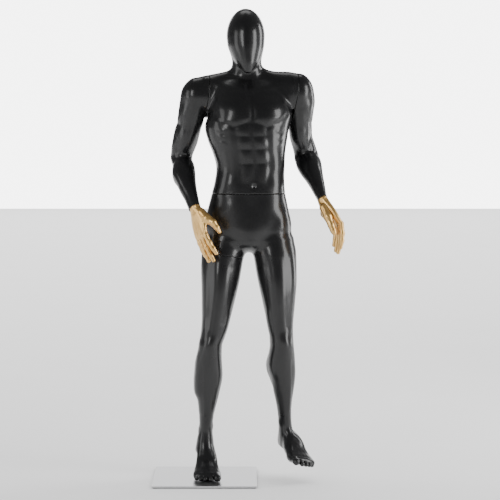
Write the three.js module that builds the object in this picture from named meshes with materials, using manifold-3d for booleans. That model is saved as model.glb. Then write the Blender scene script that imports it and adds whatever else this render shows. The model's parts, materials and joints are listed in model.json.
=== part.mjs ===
// Full body mannequin for a shop: hollow glass fibre shells, closed with boards and joined by
// metal fittings, standing by one foot on a square steel base.
// Millimetres, +Z up. The origin is the centre of the base's underside, on the floor.
// The figure faces -Y. Its own right side is at -X and its own left side is at +X.
import * as THREE from "three";
import { mergeVertices } from "three/addons/utils/BufferGeometryUtils.js";
import Module from "manifold-3d";

const wasm = await Module();
wasm.setup();

// ---------------------------------------------------------------- driving dimensions

const GAP = 0.3; // left between pieces that touch
const SEAM = 0.8; // open line between two shells at a joint
const WALL = 4; // shell thickness
const BOARD = 12; // closing board thickness
const RECESS = 4.5; // how far a board sits below its shell's rim

const PAD = { side: 392, thick: 2 };
const PLATE = { side: 400, thick: 6, corner: 5 };
const PLATE_TOP = PAD.thick + GAP + PLATE.thick;
const ROD = { x: 1, y: 56, radius: 8, top: 172, tap: 4.3, tapDepth: 22 };
const SOCKET = { outer: 11, bottom: 56, top: 186 };

// Joint faces: a point on the seam and the direction that it faces, towards the piece above
// it or outside it.
const vec = (x, y, z) => new THREE.Vector3(x, y, z);
const WAIST = { at: vec(168, 12, 1109), out: vec(0, 0, 1) };
const THIGH = { at: vec(73, 10, 872), out: vec(0.19, 0.04, 0.98).normalize() };
const SHOULDER_R = { at: vec(7, 22, 1487), out: vec(-0.976, -0.195, 0.098).normalize() };
const SHOULDER_L = { at: vec(344, 24, 1490), out: vec(0.97, 0.213, -0.116).normalize() };
const ARMPIT = 1390; // height of the lowest point where an arm joins the trunk

// Bone ends, lower end first.
const ANKLE_R = vec(1, 48, 190);
const KNEE_R = vec(20, -8, 525);
const HIP_R = vec(77, 18, 930);
const ANKLE_L = vec(311, 66, 205);
const KNEE_L = vec(297, -2, 530);
const HIP_L = vec(262, 18, 930);
const WRIST_R = vec(-36, -75, 1056);
const BREADTH_R = vec(0.6, -0.8, 0); // from the little finger to the index finger
const ELBOW_R = vec(-93, 108, 1245);
const ARM_TOP_R = vec(-38, 22, 1487);
const WRIST_L = vec(451, -62, 1086);
const BREADTH_L = vec(0.25, -0.97, 0);
const ELBOW_L = vec(386, 112, 1253);
const ARM_TOP_L = vec(364, 24, 1495);

// ---------------------------------------------------------------- materials

const finish = (color, metalness, roughness) =>
  new THREE.MeshStandardMaterial({ color, metalness, roughness });
const gloss = finish(0x0d0d0f, 0, 0.12);
const gold = finish(0xc79a55, 0.8, 0.35);
const stainless = finish(0xc9c9c9, 1, 0.3);
const zinc = finish(0x9fa4a8, 1, 0.4);
const board = finish(0xb08c5e, 0, 0.8);
const rubber = finish(0x1c1c1c, 0, 0.9);

// ---------------------------------------------------------------- solids

const group = new THREE.Group();
group.name = "mannequin";

// A closed three.js geometry as a solid that can be joined and cut.
function solid(geometry, matrix) {
  const plain = geometry.clone();
  plain.deleteAttribute("normal");
  plain.deleteAttribute("uv");
  if (matrix) plain.applyMatrix4(matrix);
  const merged = mergeVertices(plain, 1e-4);
  const triVerts = [];
  const index = merged.index.array;
  for (let i = 0; i < index.length; i += 3) {
    const [a, b, c] = [index[i], index[i + 1], index[i + 2]];
    if (a !== b && b !== c && c !== a) triVerts.push(a, b, c);
  }
  return new wasm.Manifold(new wasm.Mesh({
    numProp: 3,
    vertProperties: new Float32Array(merged.attributes.position.array),
    triVerts: new Uint32Array(triVerts),
  }));
}

// Adds a solid to the model as one named mesh.
function piece(name, material, body) {
  const mesh = body.getMesh();
  const geometry = new THREE.BufferGeometry();
  geometry.setAttribute("position", new THREE.BufferAttribute(new Float32Array(mesh.vertProperties), 3));
  geometry.setIndex(new THREE.BufferAttribute(new Uint32Array(mesh.triVerts), 1));
  geometry.computeVertexNormals();
  const node = new THREE.Mesh(geometry, material);
  node.name = name;
  group.add(node);
}

const join = (...bodies) => bodies.reduce((sum, next) => sum.add(next));
const cut = (body, ...tools) => tools.reduce((rest, tool) => rest.subtract(tool), body);

// Local axes on a line from a to b: Z along the line, X as near to side as it can be.
function axes(a, b, side) {
  const t = b.clone().sub(a).normalize();
  const u = side.clone().addScaledVector(t, -side.dot(t)).normalize();
  const v = t.clone().cross(u);
  return new THREE.Matrix4().makeBasis(u, v, t).setPosition(a);
}

const X = vec(1, 0, 0);
const Y = vec(0, 1, 0);

// Axes on a joint face, with Z pointing out of it.
const faceAxes = (face) => axes(face.at, face.at.clone().add(face.out), Math.abs(face.out.x) > 0.7 ? Y : X);

// A round solid from its profile of [radius, height] points, which starts and ends on the axis.
const turned = (profile, matrix, sides = 16) =>
  solid(new THREE.LatheGeometry(profile.map(([r, z]) => new THREE.Vector2(r, z)), sides)
    .rotateX(Math.PI / 2), matrix);

const rod = (radius, low, high, matrix, sides = 16) =>
  turned([[0, low], [radius, low], [radius, high], [0, high]], matrix, sides);

// A box of the given width, depth and height range about the local Z axis.
const block = (width, depth, low, high, matrix) =>
  solid(new THREE.BoxGeometry(width, depth, high - low).translate(0, 0, (low + high) / 2), matrix);

// Everything from one offset to another along a joint face's direction.
const layer = (face, low, high, width = 900) => block(width, width, low, high, faceAxes(face));

// ---------------------------------------------------------------- lofted limbs

// A section is [height, side offset, depth offset, half width, depth towards -v, depth towards
// +v, squareness, turn in degrees]. Squareness 2 is an ellipse. Sections between two rows follow
// a cubic curve through them.
function sectionAt(rows, height) {
  const last = rows.length - 1;
  let i = 0;
  while (i < last - 1 && height > rows[i + 1][0]) i += 1;
  const [a, b] = [rows[i], rows[i + 1]];
  const span = b[0] - a[0];
  const s = Math.min(1, Math.max(0, (height - a[0]) / span));
  const value = (row, k) => row[k] ?? (k === 6 ? 2 : 0);
  const slope = (j, k) => {
    const low = rows[Math.max(0, j - 1)];
    const high = rows[Math.min(last, j + 1)];
    return (value(high, k) - value(low, k)) / (high[0] - low[0]);
  };
  const section = [height];
  for (let k = 1; k < 8; k += 1) {
    section.push(
      (2 * s ** 3 - 3 * s ** 2 + 1) * value(a, k) + (s ** 3 - 2 * s ** 2 + s) * span * slope(i, k)
      + (3 * s ** 2 - 2 * s ** 3) * value(b, k) + (s ** 3 - s ** 2) * span * slope(i + 1, k));
  }
  return section;
}

// A closed limb through its sections, with an ellipsoid cap of the given height on each end.
// inset shrinks it all over, for the hollow inside a shell or a board that fits there.
function limb({ bone, rows, caps, around = 16, along = 8, capSteps = 2 }, inset = 0) {
  const fewer = inset > 0 ? 0.5 : 1;
  const sides = 2 * Math.round(around * fewer / 2);
  const steps = Math.round(along * fewer);
  const first = rows[0][0];
  const span = rows[rows.length - 1][0] - first;
  const stations = [];
  for (let i = 0; i < capSteps; i += 1) {
    const angle = (i / capSteps) * Math.PI / 2;
    stations.push([first, Math.sin(angle), -Math.cos(angle) * Math.max(1, caps[0] - inset)]);
  }
  for (let i = 0; i <= steps; i += 1) stations.push([first + span * i / steps, 1, 0]);
  for (let i = capSteps - 1; i >= 0; i -= 1) {
    const angle = (i / capSteps) * Math.PI / 2;
    stations.push([first + span, Math.sin(angle), Math.cos(angle) * Math.max(1, caps[1] - inset)]);
  }
  const rings = stations.length - 1;
  const geometry = new THREE.SphereGeometry(1, sides, rings);
  const position = geometry.attributes.position;
  for (let i = 0; i < position.count; i += 1) {
    const polar = Math.acos(THREE.MathUtils.clamp(position.getY(i), -1, 1));
    const [height, scale, rise] = stations[rings - Math.round(polar / Math.PI * rings)];
    const [, cu, cv, half, minus, plus, n, turn] = sectionAt(rows, height);
    const angle = Math.atan2(-position.getZ(i), position.getX(i));
    const depth = Math.sin(angle) < 0 ? minus : plus;
    const reach = ((Math.abs(Math.cos(angle)) / (half - inset)) ** n
      + (Math.abs(Math.sin(angle)) / (depth - inset)) ** n) ** (-1 / n);
    const twisted = angle + THREE.MathUtils.degToRad(turn);
    position.setXYZ(i, cu + scale * reach * Math.cos(twisted),
      cv + scale * reach * Math.sin(twisted), height + rise);
  }
  return solid(geometry, axes(bone[0], bone[1], bone[2] ?? X));
}

const TRUNK = {
  bone: [vec(168, 14, 0), vec(168, 14, 1)],
  around: 24,
  along: 14,
  caps: [54, 62],
  rows: [
    [935, 1, 4, 158, 92, 118, 2.3, 0],
    [970, -1, 3, 166, 97, 122, 2.4, 0],
    [1005, -1, 1, 164, 97, 112, 2.4, 0],
    [1040, -2, -1, 157, 96, 98, 2.4, 1],
    [1075, -1, -3, 149, 95, 90, 2.4, 2],
    [1110, 0, -5, 141, 94, 86, 2.4, 3],
    [1160, 4, -6, 133, 94, 88, 2.4, 5],
    [1210, 7, -5, 131, 98, 95, 2.4, 7],
    [1260, 2, -3, 138, 107, 104, 2.4, 8],
    [1310, -4, -1, 151, 117, 112, 2.4, 8],
    [1360, -6, 1, 161, 123, 117, 2.45, 8],
    [1385, -1, 2, 162, 124, 118, 2.5, 8],
    [1410, 7, 3, 160, 123, 118, 2.5, 8],
    [1450, 8, 6, 154, 115, 112, 2.5, 8],
    [1490, 6, 12, 144, 97, 96, 2.4, 8],
  ],
};

const GIRDLE = {
  bone: [vec(-36, 24, 1489), vec(366, 24, 1496), Y],
  around: 14,
  along: 7,
  caps: [40, 40],
  rows: [
    [0, 0, 0, 54, 56, 56],
    [50, 2, 0, 58, 70, 66],
    [110, 4, 0, 58, 80, 81],
    [150, 6, 0, 56, 80, 92],
    [200, 6, 0, 56, 80, 98],
    [255, 6, 0, 56, 80, 94],
    [305, 4, 0, 58, 80, 80],
    [360, 2, 0, 58, 70, 72],
    [402, 0, 0, 54, 56, 63],
  ],
};

const NECK = {
  bone: [vec(163, 34, 1520), vec(160, 6, 1660)],
  around: 14,
  along: 3,
  caps: [30, 30],
  rows: [
    [0, 0, 0, 72, 58, 60],
    [45, 0, 0, 61, 57, 58],
    [90, 0, 0, 56, 56, 60],
    [140, 0, 0, 57, 50, 66],
  ],
};

const HEAD = {
  bone: [vec(158, -2, 0), vec(158, -2, 1)],
  around: 18,
  along: 7,
  capSteps: 4,
  caps: [6, 104],
  rows: [
    [1574, 8, -50, 17, 24, 26, 2],
    [1592, 7, -38, 33, 45, 48, 2],
    [1612, 5, -24, 47, 65, 70, 2.1],
    [1640, 2, -8, 60, 86, 88, 2.15],
    [1670, 1, -1, 68.5, 97, 97, 2.15],
    [1707, 0, 0, 72, 99, 100, 2.1],
  ],
};

// The figure's right arm. The forearm and the upper arm overlap at the elbow.
const UPPER_ARM_R = {
  bone: [ELBOW_R, ARM_TOP_R],
  caps: [38, 56],
  rows: [
    [0, 0, 0, 40, 42, 42],
    [35, 1, 0, 45, 47, 46],
    [75, 1, -1, 49, 51, 51],
    [110, 2, -2, 49.5, 53, 53],
    [140, 5, -2, 49, 53, 55],
    [180, 8, -1, 52, 56, 58],
    [220, 9, 0, 56, 58, 58],
    [262, 3, 0, 56, 56, 56],
  ],
};
const FOREARM_R = {
  bone: [WRIST_R, ELBOW_R, BREADTH_R],
  caps: [14, 38],
  rows: [
    [-8, 0, 0, 26, 18, 19],
    [17, -1, -2, 27, 19, 21],
    [56, -2, -3, 29, 24, 26],
    [94, -4, -5, 33, 31, 32],
    [133, -4, -6, 38, 38, 37],
    [171, -4, -6, 44, 43, 41],
    [208, -2, -3, 44, 44, 41],
    [238, 0, 0, 41, 42, 40],
  ],
};

const UPPER_ARM_L = {
  bone: [ELBOW_L, ARM_TOP_L],
  caps: [38, 59],
  rows: [
    [0, 3, 0, 45, 42, 42],
    [35, -2, 0, 45, 47, 46],
    [75, -8, -1, 44, 51, 51],
    [110, -8, -2, 45, 53, 53],
    [140, -8, -2, 47, 53, 55],
    [180, -7, -1, 51, 56, 58],
    [220, -3, 0, 55, 58, 58],
    [262, -1, 0, 55, 56, 56],
  ],
};
const FOREARM_L = {
  bone: [WRIST_L, ELBOW_L, BREADTH_L],
  caps: [14, 38],
  rows: [
    [-8, 0, 0, 26, 18, 19],
    [17, 0, 0, 27, 19, 20],
    [50, 0, 1, 29, 24, 25],
    [86, 0, 2, 33, 29, 30],
    [124, 0, 2, 38, 35, 36],
    [164, 0, 2, 42, 43, 44],
    [200, 0, 3, 43, 47, 48],
    [227, 0, 2, 41, 44, 45],
  ],
};

const THIGH_R = {
  bone: [KNEE_R, HIP_R],
  caps: [40, 40],
  rows: [
    [0, 1, 0, 46, 57, 54],
    [30, 6, 0, 49, 58, 56],
    [93, 6, -1, 52, 65, 62],
    [156, 6, -2, 59.5, 73, 68],
    [218, 4, -2, 66, 81, 76],
    [281, 0, -1, 73.5, 87, 84],
    [320, -1, 0, 78.5, 89, 90],
    [365, 1, 0, 83, 90, 98],
    [409, 2, 0, 80, 84, 98],
  ],
};
const SHIN_R = {
  bone: [ANKLE_R, KNEE_R],
  along: 10,
  caps: [24, 40],
  rows: [
    [-85, 1, -14, 31, 38, 36],
    [-45, 0, -6, 29, 38, 32],
    [0, 0, 0, 26, 34, 34],
    [50, 0, 0, 28.5, 36, 33],
    [68, 0, 0, 31, 38, 35],
    [116, 0, 0, 39, 43, 45],
    [147, -2, 0, 46.5, 47, 54],
    [195, 0, 0, 53.5, 52, 62],
    [227, 0, 0, 54, 54, 66],
    [275, -3, 0, 52, 55, 63],
    [322, 0, 0, 47, 56, 54],
    [338, 1, 0, 46, 56, 52],
  ],
};

const THIGH_L = {
  bone: [KNEE_L, HIP_L],
  caps: [40, 40],
  rows: [
    [0, -1, 0, 46, 57, 54],
    [30, 0, 0, 46.5, 58, 56],
    [75, 0, -1, 50, 64, 60],
    [110, 0, -1, 55, 69, 65],
    [165, 1, -2, 63, 77, 72],
    [245, 4, -1, 74, 86, 82],
    [310, 4, 0, 80, 89, 90],
    [360, 2, 0, 83, 90, 98],
    [401, 0, 0, 80, 84, 98],
  ],
};
const SHIN_L = {
  bone: [ANKLE_L, KNEE_L, vec(0.92, 0.39, 0)],
  along: 10,
  caps: [24, 40],
  rows: [
    [-80, 0, -12, 29, 36, 34],
    [-40, 0, -5, 27, 36, 30],
    [0, 0, 0, 24, 33, 33],
    [52, -2, 0, 26, 36, 33],
    [100, -2, 0, 31, 42, 42],
    [132, -2, 0, 36, 46, 52],
    [180, -3, 0, 44, 51, 60],
    [215, -6, 0, 51, 54, 64],
    [245, -7, 0, 53, 55, 63],
    [290, -4, 0, 50, 56, 55],
    [326, -1, 0, 46, 56, 52],
  ],
};

// A foot in its own axes: the heel's back at the origin, Z towards the toes, X towards the
// figure's left and Y up. lift raises the heel over the flat toes, and out is 1 when the little
// toe is towards +X and -1 when it is towards -X.
const FOOT = { length: 250, ball: 182 };
function foot(place, lift, out) {
  const raise = (t) => lift * (1 - THREE.MathUtils.smoothstep(t, 20, FOOT.ball));
  const outline = [
    [20, 0, 34, 26, 30, 36],
    [42, 0, 40, 31, 38, 46],
    [70, 0, 42, 32, 38, 48],
    [105, 2, 36, 35, 30, 44],
    [140, 4, 29, 41, 25, 34],
    [172, 5, 23, 48, 22, 26],
    [198, 5, 19, 50, 18.5, 20],
    [212, 5, 17, 49, 16, 16],
  ];
  const rows = outline.map(([t, side, height, ...sizes]) => [t, out * side, height + raise(t), ...sizes, 2.3]);
  const sole = limb({ bone: [vec(0, 0, 0), vec(0, 0, 1)], rows, caps: [18, 12], around: 12, along: 6, });
  const toes = [
    { side: -33, start: 196, end: 239, radius: 13.5 },
    { side: -8, start: 198, end: 240, radius: 9.5 },
    { side: 11, start: 196, end: 233, radius: 9 },
    { side: 28, start: 192, end: 224, radius: 8.5 },
    { side: 42, start: 186, end: 213, radius: 8 },
  ].map(({ side, start, end, radius }) => limb({
    bone: [vec(out * (side + 2), radius + 2, start), vec(out * side, radius, end)],
    rows: [[0, 0, 0, radius, radius, radius], [end - start, 0, 0, radius, radius, radius]],
    caps: [radius, radius],
    around: 8,
    along: 1,
  }));
  return join(sole, ...toes).transform(Array.from(place.elements));
}

// Heel, toe direction and roll of each foot.
const footPlace = (heel, yaw, pitch, roll) => new THREE.Matrix4().makeTranslation(heel.x, heel.y, heel.z)
  .multiply(new THREE.Matrix4().makeRotationZ(THREE.MathUtils.degToRad(yaw)))
  .multiply(new THREE.Matrix4().makeRotationX(THREE.MathUtils.degToRad(pitch)))
  .multiply(new THREE.Matrix4().makeRotationY(THREE.MathUtils.degToRad(roll)))
  .multiply(new THREE.Matrix4().makeRotationX(Math.PI / 2));
const FOOT_R = footPlace(vec(3, 124, PLATE_TOP + GAP), 3, 0, 0);
const FOOT_L = footPlace(vec(289, 136, 66), 22, 1, 13);

// ---------------------------------------------------------------- base

const flat = new THREE.Matrix4();

function roundedSquare(side, radius) {
  const h = side / 2;
  const shape = new THREE.Shape();
  shape.moveTo(-h + radius, -h);
  shape.lineTo(h - radius, -h);
  shape.absarc(h - radius, -h + radius, radius, -Math.PI / 2, 0);
  shape.lineTo(h, h - radius);
  shape.absarc(h - radius, h - radius, radius, 0, Math.PI / 2);
  shape.lineTo(-h + radius, h);
  shape.absarc(-h + radius, h - radius, radius, Math.PI / 2, Math.PI);
  shape.lineTo(-h, -h + radius);
  shape.absarc(-h + radius, -h + radius, radius, Math.PI, 1.5 * Math.PI);
  return shape;
}

const plateShape = (side, depth, low) => solid(
  new THREE.ExtrudeGeometry(roundedSquare(side, PLATE.corner), { depth, bevelEnabled: false, curveSegments: 4 })
    .translate(0, 0, low));

// A countersunk screw with its head's face at height 0 and its shank going up. grow widens it
// into the hole that it sits in.
const countersunk = (head, shank, length, matrix, grow = 0, sides = 6) => turned([
  [0, -grow], [head + grow, -grow], [head + grow, 0.6], [shank + grow, head - shank + 0.6],
  [shank + grow, length + grow], [0, length + grow],
], matrix, sides);

function base() {
  const atRod = new THREE.Matrix4().makeTranslation(ROD.x, ROD.y, PAD.thick + GAP);
  const screw = { head: 9, shank: 4, length: 26 };
  piece("base_pad", rubber, plateShape(PAD.side, PAD.thick, 0));
  piece("base_plate", stainless, cut(plateShape(PLATE.side, PLATE.thick, PAD.thick + GAP),
    countersunk(screw.head, screw.shank, screw.length, atRod, GAP, 16)));
  piece("spigot_screw", zinc, countersunk(screw.head, screw.shank, screw.length, atRod, 0, 16));
  const onPlate = new THREE.Matrix4().makeTranslation(ROD.x, ROD.y, 0);
  const low = PLATE_TOP + GAP;
  piece("spigot_rod", stainless, cut(
    turned([[0, low], [ROD.radius, low], [ROD.radius, ROD.top - 3], [ROD.radius - 3, ROD.top], [0, ROD.top]],
      onPlate, 20),
    rod(ROD.tap, low - 1, low + ROD.tapDepth, onPlate, 16)));
}

// ---------------------------------------------------------------- fittings

// Three screws on a circle about a fitting's axis.
const screwPlaces = (matrix, radius) => [0, 1, 2].map((i) => matrix.clone()
  .multiply(new THREE.Matrix4().makeRotationZ(i * 2 * Math.PI / 3 + Math.PI / 6))
  .multiply(new THREE.Matrix4().makeTranslation(radius, 0, 0)));

// A flat disc screwed to a board. The matrix has its origin on the disc's outer face and Z
// going into the board. The holes for its screws are returned, to be cut from the board.
const DISC = 3;
const SCREW = { head: 4, shank: 1.8, length: 13 };
function disc(name, screwName, matrix, size, extra, hole) {
  const places = screwPlaces(matrix, size.screws);
  let body = rod(size.radius, 0, DISC, matrix, 20);
  if (extra) body = body.add(extra);
  if (hole) body = body.subtract(rod(hole, -2, DISC + 2, matrix, 16));
  const holes = places.map((at) => countersunk(SCREW.head, SCREW.shank, SCREW.length, at, GAP));
  piece(name, zinc, cut(body, ...holes));
  places.forEach((at, i) => piece(`${screwName}_${i + 1}`, zinc,
    countersunk(SCREW.head, SCREW.shank, SCREW.length, at)));
  return holes;
}

// Matrix on a joint face, offset along its direction, looking in (away from out) or out.
function facing(face, offset, inward) {
  const at = face.at.clone().addScaledVector(face.out, offset);
  const out = face.out.clone().multiplyScalar(inward ? -1 : 1);
  return faceAxes({ at, out });
}

// ---------------------------------------------------------------- closing boards and couplings

const slab = (limbs, face, low, high, width) => join(...limbs.map((part) => limb(part, WALL + GAP)))
  .intersect(layer(face, low, high, width));

// The board inside the shell below a joint face, or inside the shell above it.
const boardBelow = (limbs, face, width) => slab(limbs, face, -RECESS - BOARD, -RECESS, width);
const boardAbove = (limbs, face, width) => slab(limbs, face, RECESS, RECESS + BOARD, width);
const DISC_FACE = RECESS - GAP - DISC; // from the joint face to the disc's own face

// ---------------------------------------------------------------- right leg

const PEG = { radius: 15, depth: 110, rise: 60 };

function rightLeg() {
  const atRod = new THREE.Matrix4().makeTranslation(ROD.x, ROD.y, 0);
  const above = layer(THIGH, -SEAM / 2, 400, 420);
  const calf = { ...SHIN_R, rows: SHIN_R.rows.slice(3), caps: [10, 40] };
  const skin = join(limb(THIGH_R), limb(SHIN_R), foot(FOOT_R, 42, -1)).subtract(above);
  const hollow = join(limb(THIGH_R, WALL), limb(calf, WALL)).subtract(layer(THIGH, 20, 400, 420));
  const grub = axes(vec(ROD.x, ROD.y, 112), vec(ROD.x, ROD.y + 30, 112), X);
  piece("right_leg_shell", gloss, cut(skin, hollow,
    rod(SOCKET.outer + GAP, SOCKET.bottom - 60, SOCKET.top + GAP, atRod, 16),
    rod(3 + GAP, 0, 60, grub, 10)));
  piece("ankle_socket", zinc, cut(rod(SOCKET.outer, SOCKET.bottom, SOCKET.top, atRod, 16),
    rod(ROD.radius + GAP, SOCKET.bottom - 1, ROD.top + 1, atRod, 16), rod(3 + GAP, 0, 30, grub, 10)));
  piece("socket_grub_screw", zinc, rod(3, ROD.radius + GAP, 26, grub, 10));

  const peg = faceAxes(THIGH);
  piece("right_thigh_board", board, boardBelow([THIGH_R], THIGH, 420)
    .subtract(rod(PEG.radius + GAP, -60, 10, peg)));
  piece("right_thigh_peg", zinc, turned([[0, -PEG.depth], [PEG.radius, -PEG.depth],
    [PEG.radius, PEG.rise - 5], [PEG.radius - 5, PEG.rise], [0, PEG.rise]], peg));
}

// ---------------------------------------------------------------- pelvis and left leg

const HUB = { radius: 20, rise: 20, play: 0.9 }; // play keeps its flat sides clear of the hole's
const WAIST_DISC = { radius: 62, screws: 48 };

function lowerBody() {
  const calf = { ...SHIN_L, rows: SHIN_L.rows.slice(3), caps: [10, 40] };
  const skin = join(limb(TRUNK), limb(THIGH_R), limb(THIGH_L), limb(SHIN_L), foot(FOOT_L, 42, 1))
    .subtract(layer(WAIST, -SEAM / 2, 700));
  const rightThigh = block(200, 420, -500, SEAM / 2, faceAxes(THIGH));
  const hollow = join(limb(TRUNK, WALL), limb(THIGH_L, WALL), limb(calf, WALL), limb(THIGH_R, WALL))
    .subtract(layer(WAIST, 20, 700));
  piece("lower_body_shell", gloss, cut(skin, rightThigh, hollow));

  const bore = faceAxes(THIGH);
  const tube = { outer: PEG.radius + 4, low: 2, high: PEG.rise + 4 };
  piece("pelvis_thigh_board", board, boardAbove([THIGH_R], THIGH, 190)
    .subtract(rod(tube.outer + GAP, 0, 40, bore)));
  piece("pelvis_thigh_socket", zinc, rod(tube.outer, tube.low, tube.high, bore)
    .subtract(rod(PEG.radius + GAP, 0, 90, bore)));

  const up = faceAxes(WAIST);
  const holes = disc("waist_lower_disc", "waist_lower_screw", facing(WAIST, -DISC_FACE, true),
    WAIST_DISC, rod(HUB.radius, -DISC_FACE - 1, HUB.rise, up));
  piece("pelvis_waist_board", board, cut(boardBelow([TRUNK], WAIST, 500), ...holes));
}

// ---------------------------------------------------------------- torso with neck and head

const SHOULDER_DISC = { radius: 34, screws: 25 };
const STUD = { radius: 6, head: 10, reach: 12, headReach: 17 };

function upperBody() {
  const stump = (face, part, inset) => limb(part, inset).intersect(layer(face, -160, 30, 480))
    .subtract(block(900, 900, 0, ARMPIT));
  const fill = (inset) => join(limb(TRUNK, inset), limb(GIRDLE, inset), limb(NECK, inset), limb(HEAD, inset),
    stump(SHOULDER_R, UPPER_ARM_R, inset), stump(SHOULDER_L, UPPER_ARM_L, inset));
  piece("upper_body_shell", gloss, cut(fill(0), layer(WAIST, -700, SEAM / 2, 900),
    layer(SHOULDER_R, -SEAM / 2, 300, 900), layer(SHOULDER_L, -SEAM / 2, 300, 900),
    fill(WALL).subtract(layer(WAIST, -700, -20, 900))));

  const holes = disc("waist_upper_disc", "waist_upper_screw", facing(WAIST, DISC_FACE, false),
    WAIST_DISC, null, HUB.radius + HUB.play);
  piece("torso_waist_board", board, cut(boardAbove([TRUNK], WAIST, 500),
    rod(HUB.radius + 2, 0, 40, faceAxes(WAIST)), ...holes));

  for (const [side, face, upper] of [["right", SHOULDER_R, UPPER_ARM_R], ["left", SHOULDER_L, UPPER_ARM_L]]) {
    const screws = disc(`torso_shoulder_disc_${side}`, `torso_shoulder_screw_${side}`,
      facing(face, -DISC_FACE, true), SHOULDER_DISC, null, STUD.radius + GAP);
    piece(`torso_shoulder_board_${side}`, board, cut(boardBelow([GIRDLE, upper], face, 116),
      rod(STUD.head + 2, -40, 0, faceAxes(face)), ...screws));
  }
}

// ---------------------------------------------------------------- arms

const wristFace = (wrist, elbow) => ({ at: wrist, out: wrist.clone().sub(elbow).normalize() });
const PLUG = { recess: 1, depth: 16, bush: 7, stud: 4, intoHand: 26 };

function arm(side, upper, fore, face) {
  const wrist = wristFace(fore.bone[0], fore.bone[1]);
  const shoulder = layer(face, -30, 300, 480);
  const fill = (inset) => join(limb(upper, inset), limb(fore, inset), limb(GIRDLE, inset).intersect(shoulder));
  piece(`${side}_arm_shell`, gloss, cut(fill(0), layer(face, -400, SEAM / 2, 480),
    layer(wrist, -SEAM / 2, 100, 120), fill(WALL).subtract(layer(face, -400, -20, 480))));

  const hub = faceAxes(face);
  const stud = turned([[0, -STUD.headReach], [STUD.head, -STUD.headReach], [STUD.head, -STUD.reach],
    [STUD.radius, -STUD.reach], [STUD.radius, DISC_FACE + 1], [0, DISC_FACE + 1]], hub, 12);
  const holes = disc(`${side}_arm_stud`, `${side}_arm_screw`, facing(face, DISC_FACE, false), SHOULDER_DISC, stud);
  piece(`${side}_arm_board`, board, cut(boardAbove([GIRDLE, upper], face, 116), ...holes));

  const bore = faceAxes(wrist);
  const plug = slab([fore], wrist, -PLUG.recess - PLUG.depth, -PLUG.recess, 120);
  piece(`${side}_wrist_plug`, board, plug.subtract(rod(PLUG.bush + GAP, -60, 10, bore, 16)));
  piece(`${side}_wrist_bush`, zinc, rod(PLUG.bush, -PLUG.recess - PLUG.depth, -PLUG.recess, bore, 16)
    .subtract(rod(PLUG.stud + GAP, -60, 10, bore, 12)));
  return wrist;
}

// ---------------------------------------------------------------- hands

// A finger of straight stretches between its joints: points and the radius at each.
function finger(...joints) {
  const stretches = [];
  for (let i = 0; i + 1 < joints.length; i += 1) {
    const [[a, ra], [b, rb]] = [joints[i], joints[i + 1]];
    stretches.push(limb({
      bone: [a, b],
      rows: [[0, 0, 0, ra, ra, ra], [a.distanceTo(b), 0, 0, rb, rb, rb]],
      caps: [ra, rb],
      around: 8,
      along: 1,
      }));
  }
  return join(...stretches);
}

function hand(side, wrist, breadth, knuckles, palm, fingers) {
  const bore = faceAxes(wrist);
  const whole = join(limb({ bone: [knuckles, wrist.at, breadth], rows: palm, caps: [12, 10], around: 12, along: 5 }),
    ...fingers.map((joints) => finger(...joints)));
  piece(`${side}_hand`, gold, cut(whole, layer(wrist, -100, SEAM / 2, 120),
    rod(PLUG.stud + GAP, -1, PLUG.intoHand + GAP, bore, 12)));
  piece(`${side}_hand_stud`, zinc, rod(PLUG.stud, -PLUG.depth, PLUG.intoHand, bore, 12));
}

const PALM = (length) => [
  [0, 0, 0, 39, 12, 14, 2.6],
  [length * 0.3, 0, 0, 40, 13, 16, 2.6],
  [length * 0.6, 0, 0, 36, 14, 17, 2.4],
  [length * 0.8, 0, 0, 30, 16, 18, 2.2],
  [length, 0, 0, 26, 18, 19, 2],
];

base();
rightLeg();
lowerBody();
upperBody();
const wristR = arm("right", UPPER_ARM_R, FOREARM_R, SHOULDER_R);
const wristL = arm("left", UPPER_ARM_L, FOREARM_L, SHOULDER_L);
hand("right", wristR, BREADTH_R, vec(-11, -97, 952), PALM(109), [
  [[vec(-28, -74, 954), 9.5], [vec(2, -73, 873), 7.5]],
  [[vec(-17, -88, 950), 10], [vec(17, -88, 855), 8]],
  [[vec(-5, -105, 948), 10.5], [vec(35, -105, 860), 8]],
  [[vec(6, -120, 956), 10], [vec(46, -119, 887), 8]],
  [[vec(-17, -99, 1034), 14], [vec(25, -117, 1006), 13], [vec(57, -115, 965), 8]],
]);
hand("left", wristL, BREADTH_L, vec(507, -78, 998), PALM(106), [
  [[vec(500, -50, 997), 9.5], [vec(507, -50, 951), 8.5], [vec(500, -52, 912), 7.5]],
  [[vec(505, -67, 993), 10], [vec(515, -68, 939), 9], [vec(507, -70, 889), 8]],
  [[vec(509, -87, 992), 10.5], [vec(521, -89, 939), 9.5], [vec(514, -90, 885), 8]],
  [[vec(513, -105, 996), 10], [vec(525, -108, 947), 9], [vec(521, -106, 904), 8]],
  [[vec(455, -88, 1061), 15], [vec(469, -107, 1011), 13], [vec(488, -112, 956), 8.5]],
]);

export default group;
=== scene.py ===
"""Looks for the full body mannequin: moulded gloss black shells with muscle relief, satin gold
hands and a brushed steel base plate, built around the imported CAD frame.

The shells and hands are smooth implicit surfaces. Each one joins lofted limbs with soft blends,
adds relief on them, is meshed on a grid, and is cut open with a rounded rim at each joint.
Lengths in the tables are millimetres in the row frame: +Z up, and the figure faces -Y."""

import json
import math
from concurrent.futures import ThreadPoolExecutor
from types import SimpleNamespace

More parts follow.
